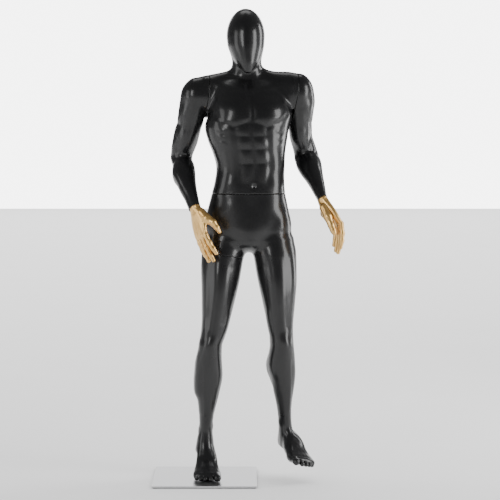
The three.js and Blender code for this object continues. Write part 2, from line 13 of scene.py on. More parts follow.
import bmesh
import bpy
import numpy as np
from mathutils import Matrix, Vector


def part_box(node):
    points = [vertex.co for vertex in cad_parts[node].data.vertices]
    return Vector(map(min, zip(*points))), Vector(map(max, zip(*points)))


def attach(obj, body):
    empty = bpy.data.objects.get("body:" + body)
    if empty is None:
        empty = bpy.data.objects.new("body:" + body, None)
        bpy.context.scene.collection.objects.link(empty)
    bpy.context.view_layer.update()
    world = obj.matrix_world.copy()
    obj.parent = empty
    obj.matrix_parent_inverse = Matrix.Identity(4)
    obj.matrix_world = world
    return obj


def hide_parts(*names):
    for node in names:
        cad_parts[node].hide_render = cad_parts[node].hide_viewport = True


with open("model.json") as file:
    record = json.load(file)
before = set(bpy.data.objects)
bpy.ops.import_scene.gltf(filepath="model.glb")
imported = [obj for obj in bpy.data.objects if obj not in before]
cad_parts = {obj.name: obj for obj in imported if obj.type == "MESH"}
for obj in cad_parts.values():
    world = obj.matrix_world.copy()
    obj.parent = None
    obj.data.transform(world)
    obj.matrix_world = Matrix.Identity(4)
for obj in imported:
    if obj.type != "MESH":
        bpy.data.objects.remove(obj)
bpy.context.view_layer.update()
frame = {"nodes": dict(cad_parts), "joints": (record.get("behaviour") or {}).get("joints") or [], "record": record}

MM = 0.001
GRID = 4.0  # spacing of a shell's surface points
LEG_GRID = 3.2
HAND_GRID = 1.6
FAR = 1e3  # stands for "nowhere near" in a field of distances
X, Y, Z = np.eye(3)

# How a shell ends at a joint: open line, wall thickness, rounding of the outer edge, depth of the
# pocket behind the rim, and how far from the joint the cut reaches.
SHOULDER_RIM = SimpleNamespace(seam=0.8, wall=4.0, lip=1.7, pocket=18.0, reach=130)
WAIST_RIM = SimpleNamespace(seam=1.3, wall=4.0, lip=1.7, pocket=18.0, reach=400)
THIGH_RIM = SimpleNamespace(seam=1.0, wall=4.0, lip=1.2, pocket=18.0, reach=128)
WRIST_RIM = SimpleNamespace(seam=0.8, wall=3, lip=0.5, pocket=1.2, reach=60)


def unit(v):
    v = np.asarray(v, float)
    return v / np.linalg.norm(v)


# ---------------------------------------------------------------- joint faces, from the frame

joints = {joint["name"]: joint for joint in frame["joints"]}


def joint_face(name, out_sign=1):
    """The point and direction of a joint's face."""
    joint = joints[name]
    return SimpleNamespace(at=np.array(joint["pos_m"]) / MM, out=out_sign * unit(joint["axis"]))


WAIST = joint_face("waist_turn")
SHOULDER_R = joint_face("right_shoulder")
SHOULDER_L = joint_face("left_shoulder", -1)
WRIST_FACE_R = joint_face("right_wrist")
WRIST_FACE_L = joint_face("left_wrist")
THIGH = SimpleNamespace(at=np.array([73.0, 10, 872]), out=unit(joints["thigh_lift"]["axis"]))
THIGH_CUT = Vector((43, 10, 872))  # middle of the cut, which stays clear of the other leg

# ---------------------------------------------------------------- lofted limbs


class Limb:
    """A loft along a bone. A row is [height, side offset, depth offset, half width, depth towards
    -v, depth towards +v, squareness, turn in degrees]; squareness 2 is an ellipse."""

    STEP = 1.0
    NEAR = 70.0  # a limb has no effect further away than this

    def __init__(self, start, end, rows, caps, side=X):
        self.origin = np.asarray(start, float)
        self.t = unit(np.asarray(end, float) - self.origin)
        side = np.asarray(side, float)
        self.u = unit(side - self.t * (side @ self.t))
        self.v = np.cross(self.t, self.u)
        self.caps = caps
        full = np.array([list(row) + [2, 0][len(row) - 6:] for row in rows], float)
        self.first, self.last = full[0, 0], full[-1, 0]
        self.table = self.smooth_rows(full)
        self.set_bounds()

    def smooth_rows(self, rows):
        """The rows' values at each STEP of height, on a cubic through the rows."""
        heights, values = rows[:, 0], rows[:, 1:]
        low = np.maximum(np.arange(len(rows)) - 1, 0)
        high = np.minimum(np.arange(len(rows)) + 1, len(rows) - 1)
        slopes = (values[high] - values[low]) / (heights[high] - heights[low])[:, None]
        at = np.arange(self.first, self.last + self.STEP, self.STEP)
        i = np.clip(np.searchsorted(heights, at, "right") - 1, 0, len(rows) - 2)
        span = heights[i + 1] - heights[i]
        s = np.clip((at - heights[i]) / span, 0, 1)[:, None]
        span = span[:, None]
        return ((2 * s**3 - 3 * s**2 + 1) * values[i] + (s**3 - 2 * s**2 + s) * span * slopes[i]
                + (3 * s**2 - 2 * s**3) * values[i + 1] + (s**3 - s**2) * span * slopes[i + 1])

    def set_bounds(self):
        at = self.first + self.STEP * np.arange(len(self.table))
        centre = (self.origin + at[:, None] * self.t + self.table[:, :1] * self.u
                  + self.table[:, 1:2] * self.v)
        reach = self.table[:, 2:5].max() * 1.1
        ends = np.array([centre[0] - self.t * self.caps[0], centre[-1] + self.t * self.caps[1]])
        self.low = np.minimum((centre - reach).min(0), ends.min(0))
        self.high = np.maximum((centre + reach).max(0), ends.max(0))

    def at(self, points):
        """Each point in the limb's axes: x to the side, y in depth, t along the bone, rho from
        the middle line, angle about it, and d, which is about its distance to the surface."""
        near = ((points > self.low - self.NEAR) & (points < self.high + self.NEAR)).all(1)
        q = points[near] - self.origin
        t = q @ self.t
        inside = np.clip(t, self.first, self.last)
        step = (inside - self.first) / self.STEP
        i = np.minimum(step.astype(int), len(self.table) - 2)
        w = (step - i)[:, None]
        cu, cv, half, minus, plus, n, turn = (self.table[i] * (1 - w) + self.table[i + 1] * w).T
        x, y = q @ self.u - cu, q @ self.v - cv
        if self.table[:, 6].any():
            c, s = np.cos(np.radians(turn)), np.sin(np.radians(turn))
            x, y = x * c + y * s, y * c - x * s
        depth = np.where(y < 0, minus, plus)
        if (self.table[:, 5] == 2).all():
            k = np.hypot(x / half, y / depth)
        else:
            k = ((np.abs(x) / half) ** n + (np.abs(y) / depth) ** n) ** (1 / n)
        beyond = t - inside
        cap = np.where(beyond < 0, self.caps[0], self.caps[1])
        k = np.maximum(np.hypot(k, beyond / cap), 1e-3)
        rho = np.hypot(x, y)
        r = np.maximum(np.hypot(rho, beyond), 1e-3)
        place = SimpleNamespace(near=near, x=x, y=y, t=t, rho=rho, angle=np.degrees(np.arctan2(y, x)))
        place.d = np.full(len(points), FAR)
        place.d[near] = r - r / k
        return place


def blend(a, b, width):
    """The union of two forms, with a fillet of about that width where they meet."""
    h = np.maximum(width - np.abs(a - b), 0) / width
    return np.minimum(a, b) - h**3 * width / 6


def smoothstep(value, low, high):
    s = np.clip((value - low) / (high - low), 0, 1)
    return s * s * (3 - 2 * s)


def swell(u, w, half_u, half_w, tilt=0.0, edge=2.0):
    """A rounded muscle, 1 in its middle and 0 outside an ellipse. A low edge makes it crisp."""
    if tilt:
        c, s = math.cos(math.radians(tilt)), math.sin(math.radians(tilt))
        u, w = u * c + w * s, w * c - u * s
    return np.clip(1 - (u / half_u) ** 2 - (w / half_w) ** 2, 0, None) ** edge


def crease(u, w, points, width):
    """1 along a line through the points and fading to 0 beside it."""
    best = np.full(len(u), 1e6)
    for (u0, w0), (u1, w1) in zip(points, points[1:]):
        du, dw = u1 - u0, w1 - w0
        s = np.clip(((u - u0) * du + (w - w0) * dw) / (du * du + dw * dw), 0, 1)
        best = np.minimum(best, (u - u0 - s * du) ** 2 + (w - w0 - s * dw) ** 2)
    return np.exp(-best / width**2)


def arc(place, angle):
    """Distance round the limb from a direction: 0 is +u, 90 is +v, -90 is -v."""
    return np.radians((place.angle - angle + 180) % 360 - 180) * place.rho


# ---------------------------------------------------------------- the figure's bones and sections

ANKLE_R, KNEE_R, HIP_R = np.array([[1, 48, 190], [20, -8, 525], [77, 18, 930]], float)
ANKLE_L, KNEE_L, HIP_L = np.array([[311, 66, 205], [297, -2, 530], [262, 18, 930]], float)
WRIST_R, ELBOW_R, ARM_TOP_R = np.array([[-36, -75, 1056], [-93, 108, 1245], [-38, 22, 1487]], float)
WRIST_L, ELBOW_L, ARM_TOP_L = np.array([[451, -62, 1086], [386, 112, 1253], [364, 24, 1495]], float)
BREADTH_R = np.array([0.6, -0.8, 0])
BREADTH_L = np.array([0.25, -0.97, 0])
ARMPIT_R, ARMPIT_L = 1400.0, 1434.0  # below these the arms are free of the trunk
SHOULDER_FILLET, NECK_FILLET, ELBOW_FILLET, GROIN_FILLET = 18, 34, 30, 30

TRUNK = Limb((168, 14, 0), (168, 14, 1), [
    [935, 1, 4, 158, 92, 104, 2.3, 0],
    [970, -1, 3, 166, 97, 114, 2.4, 0],
    [1005, -1, 1, 164, 97, 112, 2.4, 0],
    [1040, -2, -1, 157, 96, 98, 2.4, 1],
    [1075, -1, -3, 149, 95, 90, 2.4, 2],
    [1110, 0, -5, 141, 94, 86, 2.4, 3],
    [1160, 4, -6, 133, 94, 88, 2.4, 5],
    [1210, 7, -5, 131, 98, 95, 2.4, 7],
    [1260, 2, -3, 138, 107, 104, 2.4, 8],
    [1310, -4, -1, 151, 117, 112, 2.4, 8],
    [1360, -6, 1, 161, 123, 117, 2.45, 8],
    [1385, -1, 2, 162, 124, 118, 2.5, 8],
    [1410, 7, 3, 160, 123, 118, 2.5, 8],
    [1450, 8, 6, 154, 115, 112, 2.5, 8],
    [1490, 6, 12, 144, 97, 96, 2.4, 8],
    [1515, 5, 16, 134, 88, 90, 2.3, 8],
    [1535, 4, 20, 118, 76, 80, 2.2, 8],
    [1550, 3, 26, 98, 62, 66, 2.2, 8],
], (54, 12))
GIRDLE = Limb((-36, 24, 1489), (366, 24, 1496), [
    [0, 0, 0, 54, 56, 62],
    [50, 2, 0, 58, 70, 72],
    [110, 4, 0, 58, 80, 83],
    [150, 6, 0, 56, 80, 92],
    [200, 6, 0, 56, 80, 98],
    [255, 6, 0, 56, 80, 94],
    [305, 4, 0, 58, 80, 82],
    [360, 2, 0, 58, 70, 79],
    [402, 0, 0, 54, 56, 70],
], (40, 40), Y)
NECK = Limb((163, 34, 1520), (160, 6, 1660), [
    [0, 0, 0, 72, 58, 60],
    [45, 0, 0, 61, 57, 58],
    [90, 0, 0, 56, 56, 60],
    [140, 0, 0, 57, 50, 66],
], (30, 30))
HEAD = Limb((158, -2, 0), (158, -2, 1), [
    [1574, 8, -50, 17, 24, 26, 2],
    [1592, 7, -38, 33, 45, 48, 2],
    [1612, 5, -24, 47, 65, 70, 2.1],
    [1640, 2, -8, 60, 86, 88, 2.15],
    [1670, 0, -1, 69.5, 97, 97, 2.15],
    [1707, -1, 0, 73, 99, 100, 2.1],
], (6, 107))
UPPER_ARM_R = Limb(ELBOW_R, ARM_TOP_R, [
    [0, -3, 0, 39, 38, 38],
    [35, -1, 0, 45, 45, 44],
    [75, 1, -1, 49, 51, 51],
    [110, 2, -2, 49.5, 53, 53],
    [140, 5, -2, 49, 53, 55],
    [180, 8, -1, 52, 56, 58],
    [220, 9, 0, 56, 58, 58],
    [262, 3, 0, 56, 56, 56],
], (38, 59))
FOREARM_R = Limb(WRIST_R, ELBOW_R, [
    [-8, 0, 0, 26, 18, 19],
    [17, -1, -2, 27, 19, 21],
    [56, -2, -3, 29, 24, 26],
    [94, -4, -5, 33, 31, 32],
    [133, -4, -6, 38, 38, 37],
    [171, -6, -6, 46, 43, 41],
    [208, -4, -3, 45, 43, 40],
    [238, -2, 0, 39, 38, 36],
], (14, 38), BREADTH_R)
UPPER_ARM_L = Limb(ELBOW_L, ARM_TOP_L, [
    [0, 6, 0, 44, 39, 39],
    [35, 0, 0, 45, 45, 44],
    [75, -8, -1, 44, 51, 51],
    [110, -8, -2, 45, 53, 53],
    [140, -8, -2, 47, 53, 55],
    [180, -7, -1, 51, 56, 58],
    [220, -3, 0, 55, 58, 58],
    [262, -1, 0, 55, 56, 58],
], (38, 66))
FOREARM_L = Limb(WRIST_L, ELBOW_L, [
    [-8, 0, 0, 26, 18, 19],
    [17, 0, 0, 27, 19, 20],
    [50, 0, 1, 29, 24, 25],
    [86, 0, 2, 33, 29, 30],
    [124, 0, 2, 38, 35, 36],
    [164, 0, 2, 42, 43, 44],
    [200, 0, 3, 43, 48, 48],
    [227, 0, 2, 39, 45, 44],
], (14, 38), BREADTH_L)
THIGH_R = Limb(KNEE_R, HIP_R, [
    [0, 1, 0, 46, 57, 54],
    [30, 6, 0, 49, 58, 56],
    [93, 8, -1, 54, 65, 62],
    [156, 8.5, -2, 62, 73, 68],
    [218, 6.5, -2, 68.5, 81, 76],
    [281, 2, -1, 75.5, 87, 84],
    [320, 0, 0, 79.5, 89, 90],
    [365, 1, 0, 83, 90, 98],
    [409, 2, 0, 80, 84, 98],
], (40, 40))
SHIN_R = Limb(ANKLE_R, KNEE_R, [
    [-85, 1, -14, 37, 38, 48],
    [-45, 0, -6, 32, 38, 44],
    [0, 0, 0, 26, 34, 38],
    [50, 0, 0, 28.5, 36, 33],
    [68, 0, 0, 31, 38, 35],
    [116, 0, 0, 39, 43, 45],
    [147, -4, 0, 48.5, 47, 54],
    [195, -2, 0, 55.5, 52, 62],
    [227, -1.5, 0, 55.5, 54, 66],
    [275, -3, 0, 52, 55, 63],
    [322, 0, 0, 47, 56, 54],
    [338, 1, 0, 46, 56, 52],
], (24, 40))
THIGH_L = Limb(KNEE_L, HIP_L, [
    [0, -1, 0, 46, 57, 54],
    [30, 0, 0, 46.5, 58, 56],
    [75, 0, -1, 50, 64, 60],
    [110, 0, -1, 55, 69, 65],
    [165, 1, -2, 63, 77, 72],
    [245, 4, -1, 74, 86, 82],
    [310, 4, 0, 80, 89, 90],
    [360, 2, 0, 83, 90, 98],
    [401, 0, 0, 80, 84, 98],
], (40, 40))
SHIN_L = Limb(ANKLE_L, KNEE_L, [
    [-80, 0, -12, 29, 36, 46],
    [-40, 0, -5, 27, 36, 41],
    [0, 0, 0, 24, 33, 37],
    [52, -2, 0, 26, 36, 33],
    [100, -2, 0, 31, 42, 42],
    [132, -2, 0, 36, 46, 52],
    [180, -3, 0, 44, 51, 60],
    [215, -6, 0, 51, 54, 64],
    [245, -7, 0, 53, 55, 63],
    [290, -4, 0, 50, 56, 55],
    [326, -1, 0, 46, 56, 52],
], (24, 40), (0.92, 0.39, 0))


def whole_leg(thigh, shin, knee, shin_turn=0.0):
    """One upright loft through a thigh and a shin, so the knee has no joint line. Its sections are
    level, and they go from the shin's to the thigh's over the height of the knee."""
    rows = []
    for z in np.arange(shin.origin[2] + shin.first, HIP_R[2] + 1, 6.0):
        upper, lower = (level_section(limb, z) for limb in (thigh, shin))
        lower[-1] += shin_turn
        w = smoothstep(z, knee - 70, knee + 60)
        section = lower if w == 0 else upper if w == 1 else upper * w + lower * (1 - w)
        rows.append([z, *section])
    return Limb((0, 0, 0), (0, 0, 1), rows, (24, 40))


def level_section(limb, z):
    """The limb's section where its middle line is at height z, with its middle in the row frame."""
    t = np.clip((z - limb.origin[2]) / limb.t[2], limb.first, limb.last)
    i = min((t - limb.first) / limb.STEP, len(limb.table) - 1.001)
    row = limb.table[int(i)] * (1 - i % 1) + limb.table[int(i) + 1] * (i % 1)
    middle = limb.origin + (z - limb.origin[2]) / limb.t[2] * limb.t + row[0] * limb.u + row[1] * limb.v
    return np.array([middle[0], middle[1], *row[2:]])


# ---------------------------------------------------------------- muscle relief

# Muscles on the trunk: distance from the middle line, height, half width, half height, tilt,
# rise and edge. Each is on both sides.
FRONT_MUSCLES = [
    [68, 1422, 92, 92, 8, 7.8, 2.4],  # chest
    [32, 1349, 31, 22, 0, 1.6, 1.7],  # belly, four rows
    [32, 1305, 30, 26, 0, 2.4, 1.7],
    [31, 1254, 29, 29, 0, 2.2, 1.7],
    [29, 1190, 28, 46, 0, 2, 1.8],
    [112, 1352, 22, 13, 28, 1.6, 1.5],  # serratus
    [112, 1326, 22, 13, 28, 1.6, 1.5],
    [109, 1300, 22, 13, 28, 1.4, 1.5],
    [104, 1225, 40, 66, -8, 2.5, 1.8],  # flank
    [104, 1150, 44, 44, 0, 2.5, 1.8],
    [56, 1060, 46, 52, 12, 1.6, 1.8],  # lower belly
    [24, 984, 74, 92, 0, 3.5, 2.2],
    [118, 1012, 34, 50, 30, 2, 1.8],  # hip bone
]
BACK_MUSCLES = [
    [82, 1432, 60, 70, -14, 6, 1.6],  # shoulder blade
    [38, 1500, 60, 60, 28, 4, 1.8],  # trapezius
    [104, 1335, 56, 96, 12, 5, 1.7],  # latissimus
    [36, 1220, 28, 136, 0, 5, 1.7],  # beside the spine
    [78, 968, 84, 104, 0, 15, 1.7],  # buttock
    [118, 1040, 44, 44, 0, 3, 1.8],
]
# Lines pressed into the trunk: points of (distance from the middle line, height), width, depth.
FRONT_LINES = [
    [[(0, 1480), (0, 1384)], 12, 3],  # breastbone
    [[(0, 1372), (0, 1160)], 9, 1.4],  # belly's middle line
    [[(20, 1379), (64, 1367), (108, 1380), (134, 1408)], 11, 3],  # below the chest
    [[(63, 1362), (62, 1290), (58, 1210), (52, 1150)], 13, 1.6],  # beside the belly
    [[(10, 1328), (54, 1330)], 7, 0.6],  # between its rows
    [[(10, 1280), (54, 1281)], 7, 0.7],
    [[(10, 1225), (52, 1225)], 7, 0.7],
    [[(128, 1078), (104, 1010), (66, 950), (40, 915)], 22, 2.4],  # groin
]
BACK_LINES = [
    [[(0, 1505), (0, 1182)], 14, 6],  # spine
    [[(0, 1012), (0, 880)], 9, 17],  # between the buttocks
    [[(14, 873), (70, 866), (125, 884)], 17, 3],  # below the buttocks
    [[(44, 1370), (92, 1362), (132, 1392)], 14, 3],  # below the shoulder blade
    [[(40, 1075), (58, 1040)], 12, 3],
]
# The body's middle line wanders a little from the middle of its sections.
MIDLINE = np.array([[900, 3], [1060, 8], [1138, 12], [1260, 5], [1316, 4], [1411, -8], [1500, -18]])


def trunk_relief(place):
    """How far the chest, belly and back stand out from the trunk's loft."""
    side = place.x - np.interp(place.t, MIDLINE[:, 0], MIDLINE[:, 1])
    reach, z = np.abs(side), place.t
    front, back = smoothstep(-place.y, 0, 55), smoothstep(place.y, 0, 55)
    rise = np.zeros(len(z))
    for part, muscles, lines in ((front, FRONT_MUSCLES, FRONT_LINES), (back, BACK_MUSCLES, BACK_LINES)):
        shown = part > 0
        u, w, total = reach[shown], z[shown], np.zeros(shown.sum())
        for at, height, half_u, half_w, tilt, amount, edge in muscles:
            total += amount * swell(u - at, w - height, half_u, half_w, tilt, edge)
        for points, width, depth in lines:
            total -= depth * crease(u, w, points, width)
        rise[shown] += total * part[shown]
    rise += front * (4 * swell(side, z - 934, 46, 78, 0, 2)  # front of the crotch
                     - 7 * np.exp(-(side / 7.5) ** 2 - ((z - 1139) / 9) ** 2))  # navel
    return rise * (1 - 0.7 * np.exp(-((z - WAIST.at[2]) / 20) ** 2))  # shallow at the waist joint


def shoulder_relief(trunk):
    """Collar bones and the hollows round them, where the trunk, shoulders and neck are one."""
    side = np.abs(trunk.x - np.interp(trunk.t, MIDLINE[:, 0], MIDLINE[:, 1]))
    z = trunk.t
    front = smoothstep(-trunk.y, -30, 25)
    bone = [(17, 1506), (62, 1513), (112, 1530), (150, 1546)]
    above = [(40, 1528), (78, 1540)]
    below = [(104, 1502), (132, 1508)]
    rise = front * (2.4 * crease(side, z, bone, 14) - 2 * crease(side, z, above, 20)
                    - crease(side, z, below, 22))
    return rise - 6 * front * np.exp(-(side / 17) ** 2 - ((z - 1521) / 20) ** 2)


# Muscles on a limb: direction round it, height along it, half width, half length, tilt, rise, edge.


def limb_relief(place, muscles, lines=(), base=0.0):
    """Relief round a limb, with heights counted from base."""
    rise, height = np.zeros(len(place.t)), place.t - base
    for angle, at, half_u, half_w, tilt, amount, edge in muscles:
        rise += amount * swell(arc(place, angle), height - at, half_u, half_w, tilt, edge)
    for points, width, depth in lines:
        first = points[0][0]
        track = [(math.radians(a - first) * 50, t) for a, t in points]
        rise -= depth * crease(arc(place, first) * 50 / np.maximum(place.rho, 20), height, track, width)
    return rise


def mirrored(muscles, right):
    """Angles are given for the left side, where 0 is outwards; the right side mirrors them."""
    return [[180 - row[0], *row[1:]] for row in muscles] if right else muscles


def mirrored_lines(lines, right):
    return [[[(180 - a, t) for a, t in points], *rest] for points, *rest in lines] if right else lines


UPPER_ARM_MUSCLES = [
    [-8, 196, 64, 80, 0, 5, 1.6],  # deltoid
    [-60, 188, 42, 64, -16, 3, 1.8],
    [62, 186, 42, 64, 14, 3, 1.8],
    [-100, 92, 40, 70, 0, 5.5, 1.7],  # biceps
    [72, 108, 40, 78, 0, 5, 1.7],  # triceps
    [128, 96, 32, 66, 0, 3, 1.8],
    [-30, 45, 26, 48, -10, 2, 1.8],
]
UPPER_ARM_LINES = [
    [[(-34, 138), (-38, 90), (-62, 30)], 10, 1.8],
    [[(28, 140), (24, 80), (22, 24)], 10, 1.6],
    [[(-78, 214), (-52, 160), (-14, 128), (24, 150), (66, 206)], 10, 1.5],
]
FOREARM_MUSCLES = [
    [8, 186, 36, 66, 0, 4.5, 1.5],
    [172, 176, 34, 74, 0, 4, 1.5],
    [-88, 172, 32, 70, 0, 3.5, 1.5],
    [90, 8, 10, 12, 0, 1.5, 1.5],
]
THIGH_MUSCLES = [
    [-92, 236, 44, 170, 2, 3.5, 1.8],  # front of the thigh
    [-30, 205, 46, 168, 4, 4, 1.8],  # outer side
    [-146, 80, 36, 66, -14, 4, 1.8],  # above the knee, inside
    [-40, 66, 30, 56, 8, 1.4, 1.8],  # above the knee, outside
    [-168, 270, 46, 110, 0, 3, 1.8],
    [58, 170, 36, 130, 0, 5, 1.6],  # back of the thigh
    [122, 170, 36, 130, 0, 5, 1.6],
    [90, 20, 22, 50, 0, -5, 1.8],  # hollow behind the knee
]
THIGH_LINES = [
    [[(-62, 330), (-64, 200), (-58, 70)], 12, 1.8],
    [[(-122, 300), (-124, 190), (-116, 90)], 12, 1.5],
    [[(18, 320), (12, 160), (8, 40)], 11, 2],
    [[(90, 260), (90, 60)], 10, 2.4],
]
SHIN_MUSCLES = [
    [-90, 333, 36, 46, 0, 2.6, 2],  # kneecap
    [128, 232, 38, 88, 6, 6, 1.6],  # calf, inner head
    [56, 246, 34, 76, -6, 5, 1.6],  # calf, outer head
    [-40, 200, 28, 116, 0, 3, 1.8],  # beside the shin
    [-112, 170, 26, 130, 0, -2, 1.8],  # flat of the shin
    [176, 130, 22, 80, 0, 2, 1.8],
    [2, -4, 18, 22, 0, 2.6, 1.8],  # ankle bones
    [178, 6, 18, 23, 0, 2.8, 1.8],
]
SHIN_LINES = [
    [[(92, 300), (92, 190)], 8, 2.6],
    [[(34, 160), (62, 156), (92, 168), (124, 142), (152, 150)], 11, 1.8],
    [[(-74, 260), (-80, 60)], 7, -1.5],  # the edge of the shin bone stands out
    [[(40, 90), (46, 10)], 10, 3],  # hollows beside the tendon at the heel
    [[(140, 90), (134, 10)], 10, 3],
]


def add_relief(total, place, rise):
    total[place.near] -= rise


# ---------------------------------------------------------------- feet


class Foot:
    """A foot in its own axes: the heel's back at the origin, x to the figure's left, y up and z
    towards the toes. out is 1 where the little toe is towards +x."""

    LIFT = 42.0  # the heel stands this much higher than the toes
    BALL = 182.0
    OUTLINE = [
        [20, 0, 34, 26, 30, 30],
        [42, 0, 40, 30, 38, 34],
        [70, 0, 42, 31, 38, 38],
        [105, 2, 36, 38, 30, 44],
        [140, 4, 29, 45, 25, 34],
        [172, 5, 23, 51, 22, 26],
        [198, 5, 19, 53.5, 18.5, 20],
        [212, 5, 17, 52, 16, 16],
    ]
    # Each toe: side, where it starts and ends, and its radius.
    TOES = [[-34, 196, 240, 14.5], [-8, 198, 241, 10], [12, 196, 234, 9.8], [30, 192, 225, 9.4],
            [46, 186, 214, 8.8]]

    def __init__(self, heel, yaw, pitch, roll, out):
        self.heel = np.asarray(heel, float)
        self.axes = turn(Z, yaw) @ turn(X, pitch) @ turn(Y, roll) @ turn(X, 90)
        self.out = out
        rows = [[t, out * side, height + self.LIFT * (1 - smoothstep(t, 20, self.BALL)), *sizes, 2.3]
                for t, side, height, *sizes in self.OUTLINE]
        self.sole = Limb((0, 0, 0), (0, 0, 1), rows, (18, 12))
        self.toes = [self.toe(*row) for row in self.TOES]

    def toe(self, side, start, end, r):
        """A toe's joints: root, middle and tip, with a dip behind the tip."""
        out, span = self.out, end - start
        return [
            ((out * (side + 2), r + 3, start - 8), r * 0.98),
            ((out * (side + 1), r + 3.5, start + 0.42 * span), r * 0.92),
            ((out * side, r - 0.2, end), r * 0.96),
        ]

    def bounds(self):
        corners = np.array([[x, y, z] for x in (-70, 70) for y in (-6, 110) for z in (-10, 262)], float)
        return corners @ self.axes.T + self.heel

    def at(self, points):
        near = ((points > self.bounds().min(0) - 40) & (points < self.bounds().max(0) + 40)).all(1)
        q = (points[near] - self.heel) @ self.axes
        sole = self.sole.at(q)
        d = sole.d
        x, y, z = q[:, 0] * self.out, q[:, 1], q[:, 2]
        top = smoothstep(y, 20, 45)
        rise = np.zeros(len(d))
        for side, start, *_ in self.TOES:  # tendons on the top of the foot
            rise += 0.8 * crease(x, z, [(side * 0.35, 120), (side, start)], 6) * top
        rise -= 7 * swell(x + 40, z - 118, 26, 52, 0, 1.5) * smoothstep(-y, -26, -4)  # arch
        rise += 3 * swell(x + 40, z - 176, 20, 26, 0, 1.5) * smoothstep(-y, -36, -10)  # ball
        d = d - rise
        toes = np.full(len(d), FAR)
        for joints_of_toe in self.toes:
            toe = chain(q, joints_of_toe, 3)
            tip, r = joints_of_toe[-1]
            nail = swell(q[:, 0] - tip[0], z - tip[2] - 0.15 * r, 0.62 * r, 0.72 * r, 0, 0.8)
            toe = toe + 0.7 * nail * smoothstep(y, tip[1], tip[1] + r)
            toes = blend(toes, toe, 2.2)
        d = blend(d, toes, 7)
        whole = np.full(len(points), FAR)
        whole[near] = d
        return whole

    def joined(self, points, leg):
        """The leg and foot as one skin, with a long fillet down the instep."""
        z = (points - self.heel) @ self.axes[:, 2]
        fillet = 20 + 56 * smoothstep(z, 78, 128) + 34 * (1 - smoothstep(z, 22, 58))
        return blend(leg, self.at(points), fillet)


def turn(axis, degrees):
    """The matrix that turns about an axis."""
    c, s = math.cos(math.radians(degrees)), math.sin(math.radians(degrees))
    x, y, z = axis
    cross = np.array([[0, -z, y], [z, 0, -x], [-y, x, 0]])
    return c * np.eye(3) + s * cross + (1 - c) * np.outer(axis, axis)


def chain(points, joints_of_chain, width):
    """A round tapering form through joints of (place, radius), such as a finger."""
    d = np.full(len(points), FAR)
    for (a, ra), (b, rb) in zip(joints_of_chain, joints_of_chain[1:]):
        a, b = np.asarray(a, float), np.asarray(b, float)
        along = b - a
        s = np.clip((points - a) @ along / (along @ along), 0, 1)
        d = blend(d, np.linalg.norm(points - a - s[:, None] * along, axis=1) - (ra + s * (rb - ra)), width)
    return d


# ---------------------------------------------------------------- hands


class Hand:
    """Palm, fingers and thumb, blended. A finger is a chain of joints, each (place, radius)."""

    def __init__(self, knuckles, wrist, breadth, palm_sign, fingers, thumb, heel, web):
        knuckles = np.asarray(knuckles, float)
        length = np.linalg.norm(wrist - knuckles)
        self.palm = Limb(knuckles, wrist, [
            [0, 0, 0, 37, 11, 12, 2.6],
            [0.3 * length, 0, 0, 39, 13, 15, 2.6],
            [0.6 * length, 0, 0, 35, 14, 17, 2.4],
            [0.8 * length, 0, 0, 29, 16, 18, 2.2],
            [length, 0, 0, 25, 18, 19, 2],
            [length + 6, 0, 0, 25, 18, 19, 2],
        ], (12, 10), breadth)
        self.length = length
        self.palm_sign = palm_sign  # 1 if the palm faces +v
        self.fingers, self.thumb, self.heel, self.web = fingers, thumb, heel, web
        ends = np.array([place for row in [*fingers, thumb, heel] for place, _ in row], float)
        self.low = np.minimum(self.palm.low, ends.min(0) - 20)
        self.high = np.maximum(self.palm.high, ends.max(0) + 20)

    def surface(self, points):
        palm = self.palm.at(points)
        away = -self.palm_sign * self.palm.v  # out of the back of the hand
        rise = np.zeros(len(palm.t))
        back = smoothstep(-self.palm_sign * palm.y, 0, 9)
        for row in self.fingers:  # knuckles and the tendons that run to them
            root = np.asarray(row[0][0], float) - self.palm.origin
            u, t = root @ self.palm.u, root @ self.palm.t
            rise += back * 1.6 * swell(palm.x - u, palm.t - t - 2, 9, 13, 0, 1.4)
            rise += back * 0.9 * crease(palm.x, palm.t, [(u, t + 12), (0.35 * u, 0.75 * self.length)], 3.2)
        hollow = swell(palm.x - 2, palm.t - 0.4 * self.length, 24, 0.34 * self.length, 0, 1.6)
        rise -= 3.5 * hollow * smoothstep(self.palm_sign * palm.y, 0, 9)
        skin = palm.d
        add_relief(skin, palm, rise)
        skin = blend(skin, chain(points, self.heel, 8), 18)
        fingers = np.full(len(points), FAR)
        for row in self.fingers:
            fingers = blend(fingers, self.finger(points, row, away), 1.6)
        skin = blend(skin, fingers, 7)
        return blend(skin, self.finger(points, self.thumb, away), self.web)

    @staticmethod
    def finger(points, row, away):
        """A finger with a fuller middle at each joint and a nail at its tip."""
        d = chain(points, row, 5)
        for place, r in row[1:-1]:
            d -= 0.9 * np.exp(-((np.linalg.norm(points - place, axis=1) - r) / 5) ** 2) * (d < 6)
        before = np.asarray(row[-2][0], float)
        tip, r = np.asarray(row[-1][0], float), row[-1][1]
        along = unit(tip - before)
        out = unit(away - along * (away @ along))
        q = points - tip
        across, ahead, above = q @ np.cross(along, out), q @ along, q @ out
        nail = swell(across, ahead + 0.25 * r, 0.68 * r, 0.95 * r, 0, 0.7)
        return d + 0.55 * nail * smoothstep(above, 0.2 * r, 0.7 * r)


def bent(root, tip, radii, away, arch):
    """A finger's joints from its root to its tip, with its middle joints pushed away."""
    root, tip, away = (np.asarray(v, float) for v in (root, tip, away))
    return [(root + (tip - root) * s + away * arch * bow, r)
            for s, bow, r in zip((0, 0.42, 0.74, 1), (0, 1, 0.75, 0), radii)]


